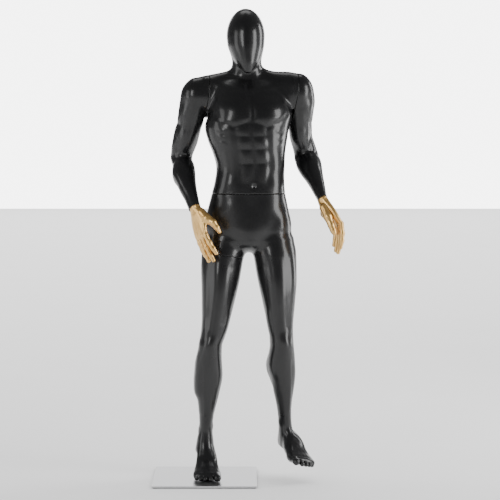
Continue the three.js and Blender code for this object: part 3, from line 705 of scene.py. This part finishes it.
BACK_OF_RIGHT = np.array([-0.8, -0.6, 0])
HAND_R = Hand(
    (-11, -97, 952), WRIST_R, BREADTH_R, 1,
    [
        bent((-28, -74, 956), (3, -73, 874), (9.8, 8.8, 8.2, 7.4), BACK_OF_RIGHT, 3),
        bent((-17, -88, 952), (17, -88, 856), (10.2, 9.3, 8.7, 7.8), BACK_OF_RIGHT, 3.5),
        bent((-5, -105, 950), (35, -105, 860), (10.6, 9.5, 8.9, 7.9), BACK_OF_RIGHT, 3.5),
        bent((6, -120, 957), (46, -119, 888), (10.2, 9.4, 8.8, 7.9), BACK_OF_RIGHT, 3),
    ],
    [((-10, -96, 1042), 15), ((10, -108, 1020), 16), ((34, -117, 1004), 13.5), ((48, -118, 986), 10.2),
     ((58, -115, 969), 7.4)],
    [((-28, -66, 1038), 15), ((-24, -68, 1000), 13), ((-22, -76, 966), 10)],
    28,
)
HAND_L = Hand(
    (507, -79, 998), WRIST_L, (0.42, -0.91, 0), -1,
    [
        [((498, -57, 996), 9.5), ((500, -58, 962), 8.8), ((499, -59, 937), 8.2), ((494, -60, 914), 7.5)],
        [((505, -72, 996), 10), ((508, -73, 956), 9.3), ((506, -74, 924), 8.7), ((501, -75, 894), 7.8)],
        [((513, -88, 997), 10.4), ((517, -90, 954), 9.6), ((515, -91, 920), 9), ((509, -91, 889), 8.2)],
        [((520, -104, 1000), 10), ((524, -106, 962), 9.4), ((522, -106, 934), 8.8), ((517, -104, 908), 8)],
    ],
    [((454, -82, 1060), 17), ((470, -98, 1026), 17), ((482, -108, 994), 12.8), ((489, -111, 976), 11.4),
     ((493, -112, 966), 10.4)],
    [((452, -58, 1080), 15), ((459, -47, 1034), 15.5), ((484, -50, 992), 11)],
    3,
)

PLATE_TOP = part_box("base_plate")[1].z / MM
SOCKET_LOW, SOCKET_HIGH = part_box("ankle_socket")
ROD_AT = [(SOCKET_LOW[i] + SOCKET_HIGH[i]) / 2 / MM for i in (0, 1)]
ROD_BORE = (SOCKET_HIGH.x - SOCKET_LOW.x) / 2 / MM + 0.4
ROD_BORE_TOP = SOCKET_HIGH.z / MM + 1
FOOT_R = Foot((3, 124, PLATE_TOP + 0.3), 3, 0, 0, -1)
FOOT_L = Foot((289, 136, 66), 22, 1, 13, 1)

# ---------------------------------------------------------------- the shells' surfaces


def shoulders(points, trunk, arms, part):
    """Trunk, shoulder girdle and upper arms as one skin. Below the armpit the arms let go of the
    trunk, so each part keeps its own side of the gap: part is "trunk" or "arm"."""
    girdle = GIRDLE.at(points)
    armpit = ARMPIT_R + (ARMPIT_L - ARMPIT_R) * smoothstep(points[:, 0], 180, 280)
    apart = 1.3 * np.maximum(0, armpit - points[:, 2])
    body = blend(trunk.d, girdle.d, 28)
    arm_skin = np.min([limb.d for limb in arms], 0)
    if part == "trunk":
        return blend(body, arm_skin + apart, SHOULDER_FILLET)
    return blend(body + apart, arm_skin, SHOULDER_FILLET)


def upper_arm_rise(place, right):
    return limb_relief(place, mirrored(UPPER_ARM_MUSCLES, right), mirrored_lines(UPPER_ARM_LINES, right))


def head_surface(points):
    head = HEAD.at(points)
    rise = np.zeros(len(head.t))
    front = smoothstep(-head.y, 10, 60)
    rise += 1.6 * front * np.exp(-(head.x / 13) ** 2) * smoothstep(head.t, 1580, 1610)
    hollow = np.exp(-((np.abs(head.x) - 30) / 18) ** 2) * swell(head.x * 0, head.t - 1650, 1, 64)
    rise -= 1.2 * front * hollow
    add_relief(head.d, head, rise)
    return head.d


def clear_of(skin, points, face, gap, side):
    """Keeps the skin round a shoulder on its own side of the joint plane, beyond the rim, so that
    the arm turns without touching the trunk. side is 1 for an arm and -1 for the trunk."""
    away = side * ((points - face.at) @ face.out)
    reach = np.linalg.norm(points - face.at, axis=1)
    free = 1 - smoothstep(reach, 98, 118) + smoothstep(reach, 200, 240)
    return -blend(-skin, away - gap + 80 * free, 8)


def upper_body(points):
    trunk, neck = TRUNK.at(points), NECK.at(points)
    arms = [UPPER_ARM_R.at(points), UPPER_ARM_L.at(points)]
    skin = shoulders(points, trunk, arms, "trunk")
    for face in (SHOULDER_R, SHOULDER_L):
        skin = clear_of(skin, points, face, 3.2, -1)
    skin = blend(skin, neck.d, NECK_FILLET)
    add_relief(skin, trunk, trunk_relief(trunk) + shoulder_relief(trunk))
    add_relief(skin, arms[0], upper_arm_rise(arms[0], True))
    add_relief(skin, arms[1], upper_arm_rise(arms[1], False))
    sides = arc(neck, -90)
    strap = crease(np.abs(sides), neck.t, [(14, 4), (40, 50), (66, 100)], 13)
    add_relief(skin, neck, 1.3 * strap - 1.2 * swell(sides, neck.t - 30, 26, 44, 0, 1.8))
    return blend(skin, head_surface(points), 8 + 34 * smoothstep(points[:, 1], -10, 40))


def arm(points, upper_limb, fore_limb, right):
    trunk, upper, fore = TRUNK.at(points), upper_limb.at(points), fore_limb.at(points)
    skin = shoulders(points, trunk, [upper], "arm")
    add_relief(skin, trunk, trunk_relief(trunk) + shoulder_relief(trunk))
    add_relief(skin, upper, upper_arm_rise(upper, right))
    skin = clear_of(skin, points, SHOULDER_R if right else SHOULDER_L, 1.2, 1)
    forearm = fore.d
    add_relief(forearm, fore, limb_relief(fore, FOREARM_MUSCLES))
    return blend(skin, forearm, ELBOW_FILLET)


LEG_R = whole_leg(THIGH_R, SHIN_R, KNEE_R[2])
LEG_L = whole_leg(THIGH_L, SHIN_L, KNEE_L[2], 23)


def leg_rise(leg, knee, ankle, right):
    return (limb_relief(leg, mirrored(THIGH_MUSCLES, right), mirrored_lines(THIGH_LINES, right), knee[2])
            + limb_relief(leg, mirrored(SHIN_MUSCLES, right), mirrored_lines(SHIN_LINES, right), ankle[2]))


def hips(points, legs):
    """Trunk and legs as one skin."""
    trunk = TRUNK.at(points)
    skin = trunk.d
    for leg, knee, ankle, right in legs:
        place = leg.at(points)
        add_relief(place.d, place, leg_rise(place, knee, ankle, right))
        skin = blend(skin, place.d, GROIN_FILLET)
    add_relief(skin, trunk, trunk_relief(trunk))
    return skin


def lower_body(points):
    legs = [(LEG_R, KNEE_R, ANKLE_R, True), (LEG_L, KNEE_L, ANKLE_L, False)]
    return FOOT_L.joined(points, hips(points, legs))


def right_leg(points):
    """The standing leg, with a bore in its sole for the socket that goes over the spigot rod."""
    leg = FOOT_R.joined(points, hips(points, [(LEG_R, KNEE_R, ANKLE_R, True)]))
    across = np.hypot(points[:, 0] - ROD_AT[0], points[:, 1] - ROD_AT[1])
    bore = np.maximum(across - ROD_BORE, points[:, 2] - ROD_BORE_TOP)
    return -blend(-leg, bore, 1.5)


# ---------------------------------------------------------------- meshing


def evaluate(field, points, chunk=60000):
    """The field at the points, on all cores."""
    parts = [points[i:i + chunk] for i in range(0, len(points), chunk)]
    with ThreadPoolExecutor(4) as pool:
        return np.concatenate(list(pool.map(field, parts)))


def grid_values(field, low, counts, step):
    """The field at the grid's nodes, worked out only near the surface."""
    block = 4
    blocks = -(-counts // block)
    centres = np.stack(np.meshgrid(*[np.arange(n) for n in blocks], indexing="ij"), -1).reshape(-1, 3)
    rough = evaluate(field, low + (centres + 0.5) * block * step).reshape(blocks)
    reach = block * step * math.sqrt(3) / 2 * 1.5 + 8
    shape = blocks * block + 1
    near = np.zeros(shape, bool)
    values = np.ones(shape, np.float32)
    sign = np.repeat(np.repeat(np.repeat(np.sign(rough), block, 0), block, 1), block, 2)
    values[:-1, :-1, :-1] = sign * FAR
    for i, j, k in np.argwhere(np.abs(rough) < reach) * block:
        near[i:i + block + 1, j:j + block + 1, k:k + block + 1] = True
    at = np.argwhere(near)
    values[near] = evaluate(field, low + at * step)
    return values


def untangle(values, step):
    """Moves single nodes to the other side of the surface where it would touch itself along a
    line, which is where a grid square's corners are inside and outside by turns."""
    for _ in range(20):
        tangled = 0
        for i, j in ((0, 1), (1, 2), (0, 2)):
            cuts = []
            for a, b in ((0, 0), (1, 0), (1, 1), (0, 1)):
                cut = [slice(None)] * 3
                cut[i] = slice(a, values.shape[i] - 1 + a)
                cut[j] = slice(b, values.shape[j] - 1 + b)
                cuts.append(tuple(cut))
            p, q, r, s = (values[cut] < 0 for cut in cuts)
            for at in np.argwhere((p == r) & (q == s) & (p != q)):
                nodes = []
                for a, b in ((0, 0), (1, 0), (1, 1), (0, 1)):
                    node = at.copy()
                    node[i] += a
                    node[j] += b
                    nodes.append(tuple(node))
                node = min(nodes, key=lambda n: abs(values[n]))
                values[node] = -math.copysign(0.05 * step, values[node])
                tangled += 1
        if not tangled:
            break


def surface_net(values, low, step):
    """Points and quads of the surface where the values change sign."""
    inside = values < 0
    corners = [(i, j, k) for i in (0, 1) for j in (0, 1) for k in (0, 1)]
    n = np.array(values.shape) - 1
    count = sum(inside[i:i + n[0], j:j + n[1], k:k + n[2]].astype(np.int8) for i, j, k in corners)
    cells = np.argwhere((count > 0) & (count < 8))
    total, hits = np.zeros((len(cells), 3)), np.zeros(len(cells))
    for a in corners:
        for axis in range(3):
            if a[axis]:
                continue
            b = list(a)
            b[axis] = 1
            fa = values[tuple((cells + a).T)].astype(float)
            fb = values[tuple((cells + b).T)].astype(float)
            cross = (fa < 0) != (fb < 0)
            s = np.where(cross, fa / np.where(cross, fa - fb, 1), 0)
            point = np.array(a, float) + s[:, None] * (np.array(b) - np.array(a))
            total += np.where(cross[:, None], point, 0)
            hits += cross
    points = low + (cells + total / hits[:, None]) * step
    number = np.full(n, -1, np.int32)
    number[tuple(cells.T)] = np.arange(len(cells))
    quads = []
    for axis in range(3):
        ahead = np.roll(inside, -1, axis)
        core = [slice(1, m) for m in n]
        core[axis] = slice(0, n[axis])
        core = tuple(core)
        changes = np.argwhere((inside != ahead)[core]) + [0 if i == axis else 1 for i in range(3)]
        outward = inside[tuple(changes.T)]
        b, c = [(1, 2), (2, 0), (0, 1)][axis]
        eb, ec = np.eye(3, dtype=int)[b], np.eye(3, dtype=int)[c]
        ring = [changes - eb - ec, changes - ec, changes, changes - eb]
        quad = np.stack([number[tuple(r.T)] for r in ring], 1)
        quad[~outward] = quad[~outward][:, ::-1]
        quads.append(quad)
    return points, np.concatenate(quads)


def settle(field, points, quads, step):
    """Evens out the points over the surface and puts them exactly on it."""
    ends = np.concatenate([quads[:, [i, (i + 1) % 4]] for i in range(4)])
    ends = np.concatenate([ends, ends[:, ::-1]])
    neighbours = np.bincount(ends[:, 0], minlength=len(points))[:, None]
    for evened in (True, True, False):
        if evened:
            sums = [np.bincount(ends[:, 0], points[ends[:, 1], k], len(points)) for k in range(3)]
            mean = np.stack(sums, 1)
            points = 0.35 * points + 0.65 * mean / neighbours
        size = 0.4
        d = evaluate(field, points)
        slope = np.stack([evaluate(field, points + size * axis) - d for axis in (X, Y, Z)], 1) / size
        move = -d[:, None] * slope / np.maximum((slope**2).sum(1), 0.05)[:, None]
        length = np.linalg.norm(move, axis=1)[:, None]
        points = points + move * np.minimum(1, 0.7 * step / np.maximum(length, 1e-6))
    return points


def moulded(name, field, low, high, step):
    """A closed mesh of the field's surface within a box, as a bmesh in millimetres."""
    low, high = np.array(low, float), np.array(high, float)
    values = grid_values(field, low, np.ceil((high - low) / step).astype(int), step)
    untangle(values, step)
    points, quads = surface_net(values, low, step)
    points = settle(field, points, quads, step)
    mesh = bpy.data.meshes.new(name)
    mesh.from_pydata(points.tolist(), [], quads.tolist())
    bm = bmesh.new()
    bm.from_mesh(mesh)
    bpy.data.meshes.remove(mesh)
    bm.normal_update()
    return bm


def cut_open(bm, face, keep, rim, middle=None):
    """Cuts a shell at a joint face and gives it a rounded rim round an open pocket. keep is -1
    for the shell that the face looks away from and 1 for the one beyond it."""
    out = Vector(-keep * face.out)
    at = Vector(face.at)
    middle = middle or at
    level = at - out * (rim.seam / 2 + rim.lip)
    chosen = [f for f in bm.faces if (f.calc_center_median() - middle).length < rim.reach]
    parts = set(chosen) | {e for f in chosen for e in f.edges} | {v for f in chosen for v in f.verts}
    bmesh.ops.bisect_plane(bm, geom=list(parts), dist=1e-4, plane_co=level, plane_no=out)
    gone = [f for f in bm.faces if (f.calc_center_median() - level).dot(out) > 1e-3
            and (f.calc_center_median() - middle).length < rim.reach]
    bmesh.ops.delete(bm, geom=gone, context="FACES")
    edge = [v for v in bm.verts if v.is_boundary and abs((v.co - level).dot(out)) < 1e-2]
    bmesh.ops.remove_doubles(bm, verts=edge, dist=0.5)
    drop_islands(bm)
    for loop in open_loops(bm):
        if abs((loop[0].co - level).dot(out)) < 1e-2 and len(loop) >= 8:
            close_with_pocket(bm, loop, out, rim)


def close_with_pocket(bm, loop, out, rim):
    """Rounds the rim over, takes it back in at the wall's thickness and closes it with a floor."""
    inward = []
    for v in loop:
        flat = v.normal - out * v.normal.dot(out)
        inward.append(-flat.normalized())
    rings = [loop]
    profile = [(0.707 * rim.lip, 0.293 * rim.lip), (rim.lip, rim.lip), (rim.lip, rim.wall),
               (rim.lip - rim.pocket, rim.wall)]
    for shift, depth in profile:
        rings.append([bm.verts.new(v.co + out * shift + n * depth) for v, n in zip(loop, inward)])
    count = len(loop)
    for a, b in zip(rings, rings[1:]):
        for i in range(count):
            j = (i + 1) % count
            bm.faces.new((a[i], a[j], b[j], b[i]))
    last = rings[-1]
    hub = bm.verts.new(sum((v.co for v in last), Vector()) / count)
    for i in range(count):
        bm.faces.new((last[i], last[(i + 1) % count], hub))


def open_loops(bm):
    """The open edges as loops of vertices, each in the order that a new face beside it needs."""
    after = {}
    for edge in bm.edges:
        if len(edge.link_loops) == 1:
            corner = edge.link_loops[0]
            after[corner.link_loop_next.vert] = corner.vert
    loops = []
    while after:
        start, nxt = after.popitem()
        loop = [start]
        while nxt is not start and nxt in after:
            loop.append(nxt)
            nxt = after.pop(nxt)
        loops.append(loop)
    return loops


def drop_islands(bm):
    """Keeps only the largest connected part."""
    left, best = set(bm.verts), set()
    while left:
        seed = left.pop()
        island, edge = {seed}, [seed]
        while edge:
            for link in edge.pop().link_edges:
                for v in link.verts:
                    if v in left:
                        left.discard(v)
                        island.add(v)
                        edge.append(v)
        best = max(best, island, key=len)
    bmesh.ops.delete(bm, geom=[v for v in bm.verts if v not in best], context="VERTS")


def finished(bm, name, material, body, slot, *replaced):
    """Turns a bmesh in millimetres into a smooth piece that rides on its body."""
    bmesh.ops.recalc_face_normals(bm, faces=bm.faces)
    bmesh.ops.scale(bm, vec=(MM, MM, MM), verts=bm.verts)
    mesh = bpy.data.meshes.new(name)
    bm.to_mesh(mesh)
    bm.free()
    mesh.shade_smooth()
    mesh.set_sharp_from_angle(angle=math.radians(50))
    piece = bpy.data.objects.new(name, mesh)
    bpy.context.scene.collection.objects.link(piece)
    mesh.materials.append(material)
    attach(piece, body)
    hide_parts(*replaced)
    return piece


# ---------------------------------------------------------------- materials


class Shader:
    """A material with a Principled shader, and short calls to add nodes to it."""

    def __init__(self, name, **sockets):
        self.material = bpy.data.materials.new(name)
        self.material.use_nodes = True
        self.tree = self.material.node_tree
        self.main = self.tree.nodes["Principled BSDF"]
        for socket, value in sockets.items():
            self.main.inputs[socket.replace("_", " ")].default_value = value
        self.coords = self.tree.nodes.new("ShaderNodeTexCoord").outputs["Object"]

    def node(self, kind, links=None, **values):
        made = self.tree.nodes.new(kind)
        for socket, value in values.items():
            made.inputs[socket.replace("_", " ")].default_value = value
        for socket, source in (links or {}).items():
            self.tree.links.new(source, made.inputs[socket])
        return made

    def noise(self, scale, detail=2.0, stretch=None, roughness=0.5):
        source = self.coords
        if stretch:
            mapping = self.node("ShaderNodeMapping", {"Vector": source})
            mapping.inputs["Scale"].default_value = stretch
            source = mapping.outputs["Vector"]
        return self.node("ShaderNodeTexNoise", {"Vector": source}, Scale=scale, Detail=detail,
                         Roughness=roughness).outputs["Fac"]

    def ramp(self, source, *stops):
        made = self.node("ShaderNodeValToRGB", {"Fac": source})
        elements = made.color_ramp.elements
        while len(elements) < len(stops):
            elements.new(0.5)
        for element, (place, colour) in zip(elements, stops):
            element.position = place
            element.color = (*colour, 1)
        return made.outputs["Color"]

    def between(self, source, low, high):
        made = self.node("ShaderNodeMapRange", {"Value": source})
        made.inputs["To Min"].default_value = low
        made.inputs["To Max"].default_value = high
        return made.outputs["Result"]

    def bump(self, source, strength, distance, under=None):
        links = {"Height": source}
        if under:
            links["Normal"] = under
        return self.node("ShaderNodeBump", links, Strength=strength, Distance=distance).outputs["Normal"]

    def set(self, socket, source):
        self.tree.links.new(source, self.main.inputs[socket])


def black_gloss():
    s = Shader("black_gloss", Coat_Weight=0.3, Coat_Roughness=0.1, IOR=1.42)
    tones = (0.35, (0.007, 0.007, 0.0075)), (0.7, (0.011, 0.011, 0.0115))
    s.set("Base Color", s.ramp(s.noise(6, 3), *tones))
    s.set("Roughness", s.between(s.noise(22, 4), 0.25, 0.33))
    waves = s.bump(s.noise(16, 1), 0.16, 0.001)
    s.set("Normal", s.bump(s.noise(420, 2), 0.05, 0.0003, waves))
    s.set("Coat Normal", waves)
    return s.material


def satin_gold():
    """Gold paint, with painted shade: darker brown in the creases and hollows, where shade falls."""
    s = Shader("satin_gold", Metallic=0.85, Coat_Weight=0.3, Coat_Roughness=0.2)
    creases = s.tree.nodes.new("ShaderNodeNewGeometry").outputs["Pointiness"]
    paint = s.ramp(s.noise(30, 4), (0.3, (0.74, 0.44, 0.14)), (0.7, (0.86, 0.55, 0.20)))
    # Painted shade: low pointiness (creases, hollows) turns the gold dark brown, standing in for shade there.
    painted_crease_shade = s.ramp(creases, (0.445, (0.07, 0.022, 0.006)), (0.492, (1, 1, 1)))
    mix = s.tree.nodes.new("ShaderNodeMix")
    mix.data_type = "RGBA"
    mix.blend_type = "MULTIPLY"
    mix.inputs["Factor"].default_value = 1.0
    colour_a, colour_b = [socket for socket in mix.inputs if socket.type == "RGBA"]
    s.tree.links.new(paint, colour_a)
    s.tree.links.new(painted_crease_shade, colour_b)
    s.set("Base Color", next(socket for socket in mix.outputs if socket.type == "RGBA"))
    s.set("Roughness", s.between(s.noise(60, 4), 0.26, 0.34))
    s.set("Normal", s.bump(s.noise(900, 2), 0.12, 0.0003))
    return s.material


def fine_steel():
    s = Shader("drawn_rod", Metallic=1.0)
    grain = s.noise(1, 3, (300, 300, 20), 0.7)
    s.set("Base Color", s.ramp(grain, (0.3, (0.50, 0.50, 0.51)), (0.7, (0.66, 0.66, 0.67))))
    s.set("Roughness", s.between(grain, 0.24, 0.38))
    s.set("Normal", s.bump(grain, 0.12, 0.0002))
    return s.material


def zinc_plate():
    s = Shader("zinc_plating", Metallic=1.0)
    s.set("Base Color", s.ramp(s.noise(90, 5), (0.3, (0.42, 0.44, 0.46)), (0.7, (0.58, 0.59, 0.60))))
    s.set("Roughness", s.between(s.noise(140, 4), 0.28, 0.5))
    s.set("Normal", s.bump(s.noise(500, 3), 0.15, 0.0002))
    return s.material


def plywood():
    s = Shader("plywood", Roughness=0.7)
    grain = s.noise(1, 5, (30, 240, 240), 0.65)
    tones = (0.3, (0.32, 0.19, 0.09)), (0.55, (0.50, 0.33, 0.17)), (0.8, (0.62, 0.45, 0.26))
    s.set("Base Color", s.ramp(grain, *tones))
    s.set("Normal", s.bump(grain, 0.3, 0.0005))
    return s.material


def black_rubber():
    s = Shader("black_rubber")
    cells = s.noise(700, 3)
    s.set("Base Color", s.ramp(cells, (0.3, (0.010, 0.010, 0.010)), (0.8, (0.024, 0.024, 0.024))))
    s.set("Roughness", s.between(cells, 0.75, 0.95))
    s.set("Normal", s.bump(cells, 0.5, 0.0004))
    return s.material


BLACK = black_gloss()
GOLD = satin_gold()
# The material of each slot, for the CAD nodes that are shown as they are.
CARRIED = {"zinc": zinc_plate(), "board": plywood(), "rubber": black_rubber(), "stainless": fine_steel(),
           "gloss_black": BLACK, "gold": GOLD}
for subpart in frame["record"]["subparts"]:
    node = frame["nodes"][subpart["node"]]
    node.data.materials.clear()
    node.data.materials.append(CARRIED[subpart["material_slot"]])

# ---------------------------------------------------------------- shells


def make_torso():
    low = [min(SHOULDER_R.at[0], 0) - 30, -135, WAIST.at[2] - 16]
    high = [SHOULDER_L.at[0] + 34, 170, HEAD.high[2] + 8]
    bm = moulded("torso", upper_body, low, high, GRID)
    cut_open(bm, WAIST, 1, WAIST_RIM)
    cut_open(bm, SHOULDER_R, -1, SHOULDER_RIM)
    cut_open(bm, SHOULDER_L, -1, SHOULDER_RIM)
    finished(bm, "torso_shell", BLACK, "upper_body", "gloss_black", "upper_body_shell")


def make_arm(side, upper, fore, shoulder, wrist):
    low = np.minimum(upper.low, fore.low) - 12
    high = np.maximum(upper.high, fore.high) + 12
    bm = moulded(f"{side}_arm", lambda points: arm(points, upper, fore, side == "right"), low, high, GRID)
    cut_open(bm, shoulder, 1, SHOULDER_RIM)
    cut_open(bm, wrist, -1, WRIST_RIM)
    finished(bm, f"{side}_arm_moulding", BLACK, f"{side}_arm", "gloss_black", f"{side}_arm_shell")


def make_pelvis():
    foot = FOOT_L.bounds()
    low = np.minimum([-24, -125, 20], foot.min(0) - 4)
    high = np.maximum([350, 175, WAIST.at[2] + 14], foot.max(0) + 4)
    bm = moulded("pelvis", lower_body, low, high, LEG_GRID)
    cut_open(bm, WAIST, -1, WAIST_RIM)
    cut_open(bm, THIGH, 1, THIGH_RIM, THIGH_CUT)
    finished(bm, "pelvis_and_left_leg", BLACK, "lower_body", "gloss_black", "lower_body_shell")


def make_right_leg():
    foot = FOOT_R.bounds()
    low = np.minimum([-70, -125, 4], foot.min(0) - 4)
    high = np.maximum([172, 150, 905], foot.max(0) + 4)
    high[2] = 905
    bm = moulded("right_leg", right_leg, low, high, LEG_GRID)
    cut_open(bm, THIGH, -1, THIGH_RIM, THIGH_CUT)
    finished(bm, "right_leg_moulding", BLACK, "right_leg", "gloss_black", "right_leg_shell")


def make_hand(side, hand, wrist):
    bm = moulded(f"{side}_hand", hand.surface, hand.low, hand.high, HAND_GRID)
    cut_open(bm, wrist, 1, WRIST_RIM)
    finished(bm, f"{side}_hand_moulding", GOLD, f"{side}_hand", "gold", f"{side}_hand")


make_torso()
make_arm("right", UPPER_ARM_R, FOREARM_R, SHOULDER_R, WRIST_FACE_R)
make_arm("left", UPPER_ARM_L, FOREARM_L, SHOULDER_L, WRIST_FACE_L)
make_pelvis()
make_right_leg()
make_hand("right", HAND_R, WRIST_FACE_R)
make_hand("left", HAND_L, WRIST_FACE_L)

# ---------------------------------------------------------------- camera, floor and lights


def make_camera():
    """At eye height in front of the figure, tilted down a little, with a long lens."""
    camera = bpy.data.objects.new("camera", bpy.data.cameras.new("camera"))
    bpy.context.scene.collection.objects.link(camera)
    camera.location = (0.1736, -7.806, 1.532)
    camera.rotation_euler = (math.radians(90 - 4.70), 0, 0)
    camera.data.sensor_width = 36
    camera.data.lens = 146.45
    camera.data.clip_end = 60
    bpy.context.scene.camera = camera


def make_floor():
    """A plain pale plane, half a millimetre below the part."""
    bpy.ops.mesh.primitive_plane_add(size=30, location=(0.15, 2, -0.0005))
    floor = bpy.context.object
    floor.name = "floor"
    s = Shader("pale_floor", Roughness=0.8)
    s.set("Base Color", s.ramp(s.noise(2, 2), (0.0, (0.85, 0.85, 0.85)), (1.0, (0.88, 0.88, 0.88))))
    floor.data.materials.append(s.material)


def soft_box(name, place, target, width, height, power, in_gloss=True):
    """A rectangular lamp, in metres and watts, that the camera doesn't see itself."""
    lamp = bpy.data.objects.new(name, bpy.data.lights.new(name, "AREA"))
    bpy.context.scene.collection.objects.link(lamp)
    lamp.data.shape = "RECTANGLE"
    lamp.data.size = width
    lamp.data.size_y = height
    lamp.data.energy = power
    lamp.location = place
    lamp.rotation_euler = (Vector(target) - Vector(place)).to_track_quat("-Z", "Y").to_euler()
    lamp.visible_camera = False
    lamp.visible_glossy = in_gloss


def make_world():
    """Dim grey all round, and white where the camera looks past the floor."""
    world = bpy.data.worlds.new("studio")
    bpy.context.scene.world = world
    world.use_nodes = True
    nodes, links = world.node_tree.nodes, world.node_tree.links
    around = nodes["Background"]
    around.inputs["Color"].default_value = (0.16, 0.16, 0.163, 1)
    seen = nodes.new("ShaderNodeBackground")
    seen.inputs["Color"].default_value = (1, 1, 1, 1)
    seen.inputs["Strength"].default_value = 6
    mix = nodes.new("ShaderNodeMixShader")
    links.new(nodes.new("ShaderNodeLightPath").outputs["Is Camera Ray"], mix.inputs["Fac"])
    links.new(around.outputs["Background"], mix.inputs[1])
    links.new(seen.outputs["Background"], mix.inputs[2])
    links.new(mix.outputs["Shader"], nodes["World Output"].inputs["Surface"])


make_camera()
make_floor()
make_world()
soft_box("front_left_key", (-2.3, -3.7, 2.1), (0.15, 0, 1.25), 1.0, 2.6, 56)
soft_box("left_side", (-3.7, -1.3, 1.5), (0.15, 0, 1.1), 1.6, 2.8, 34)
soft_box("right_strip", (3.3, -1.3, 1.5), (0.15, 0, 1.1), 1.3, 2.8, 85)
soft_box("right_rim", (3.0, 1.6, 1.6), (0.15, 0, 1.1), 0.7, 2.6, 40)
soft_box("back_wall", (0.15, 17.2, 4.0), (0.15, 0, 0.8), 16.0, 7.0, 760)
soft_box("floor_wash", (0.15, 9.2, 6.0), (0.15, 9.2, 0), 24.0, 17.6, 3300, in_gloss=False)
soft_box("overhead", (0.15, 1.0, 3.6), (0.15, 0.4, 0), 1.6, 1.0, 9)

bpy.context.view_layer.update()
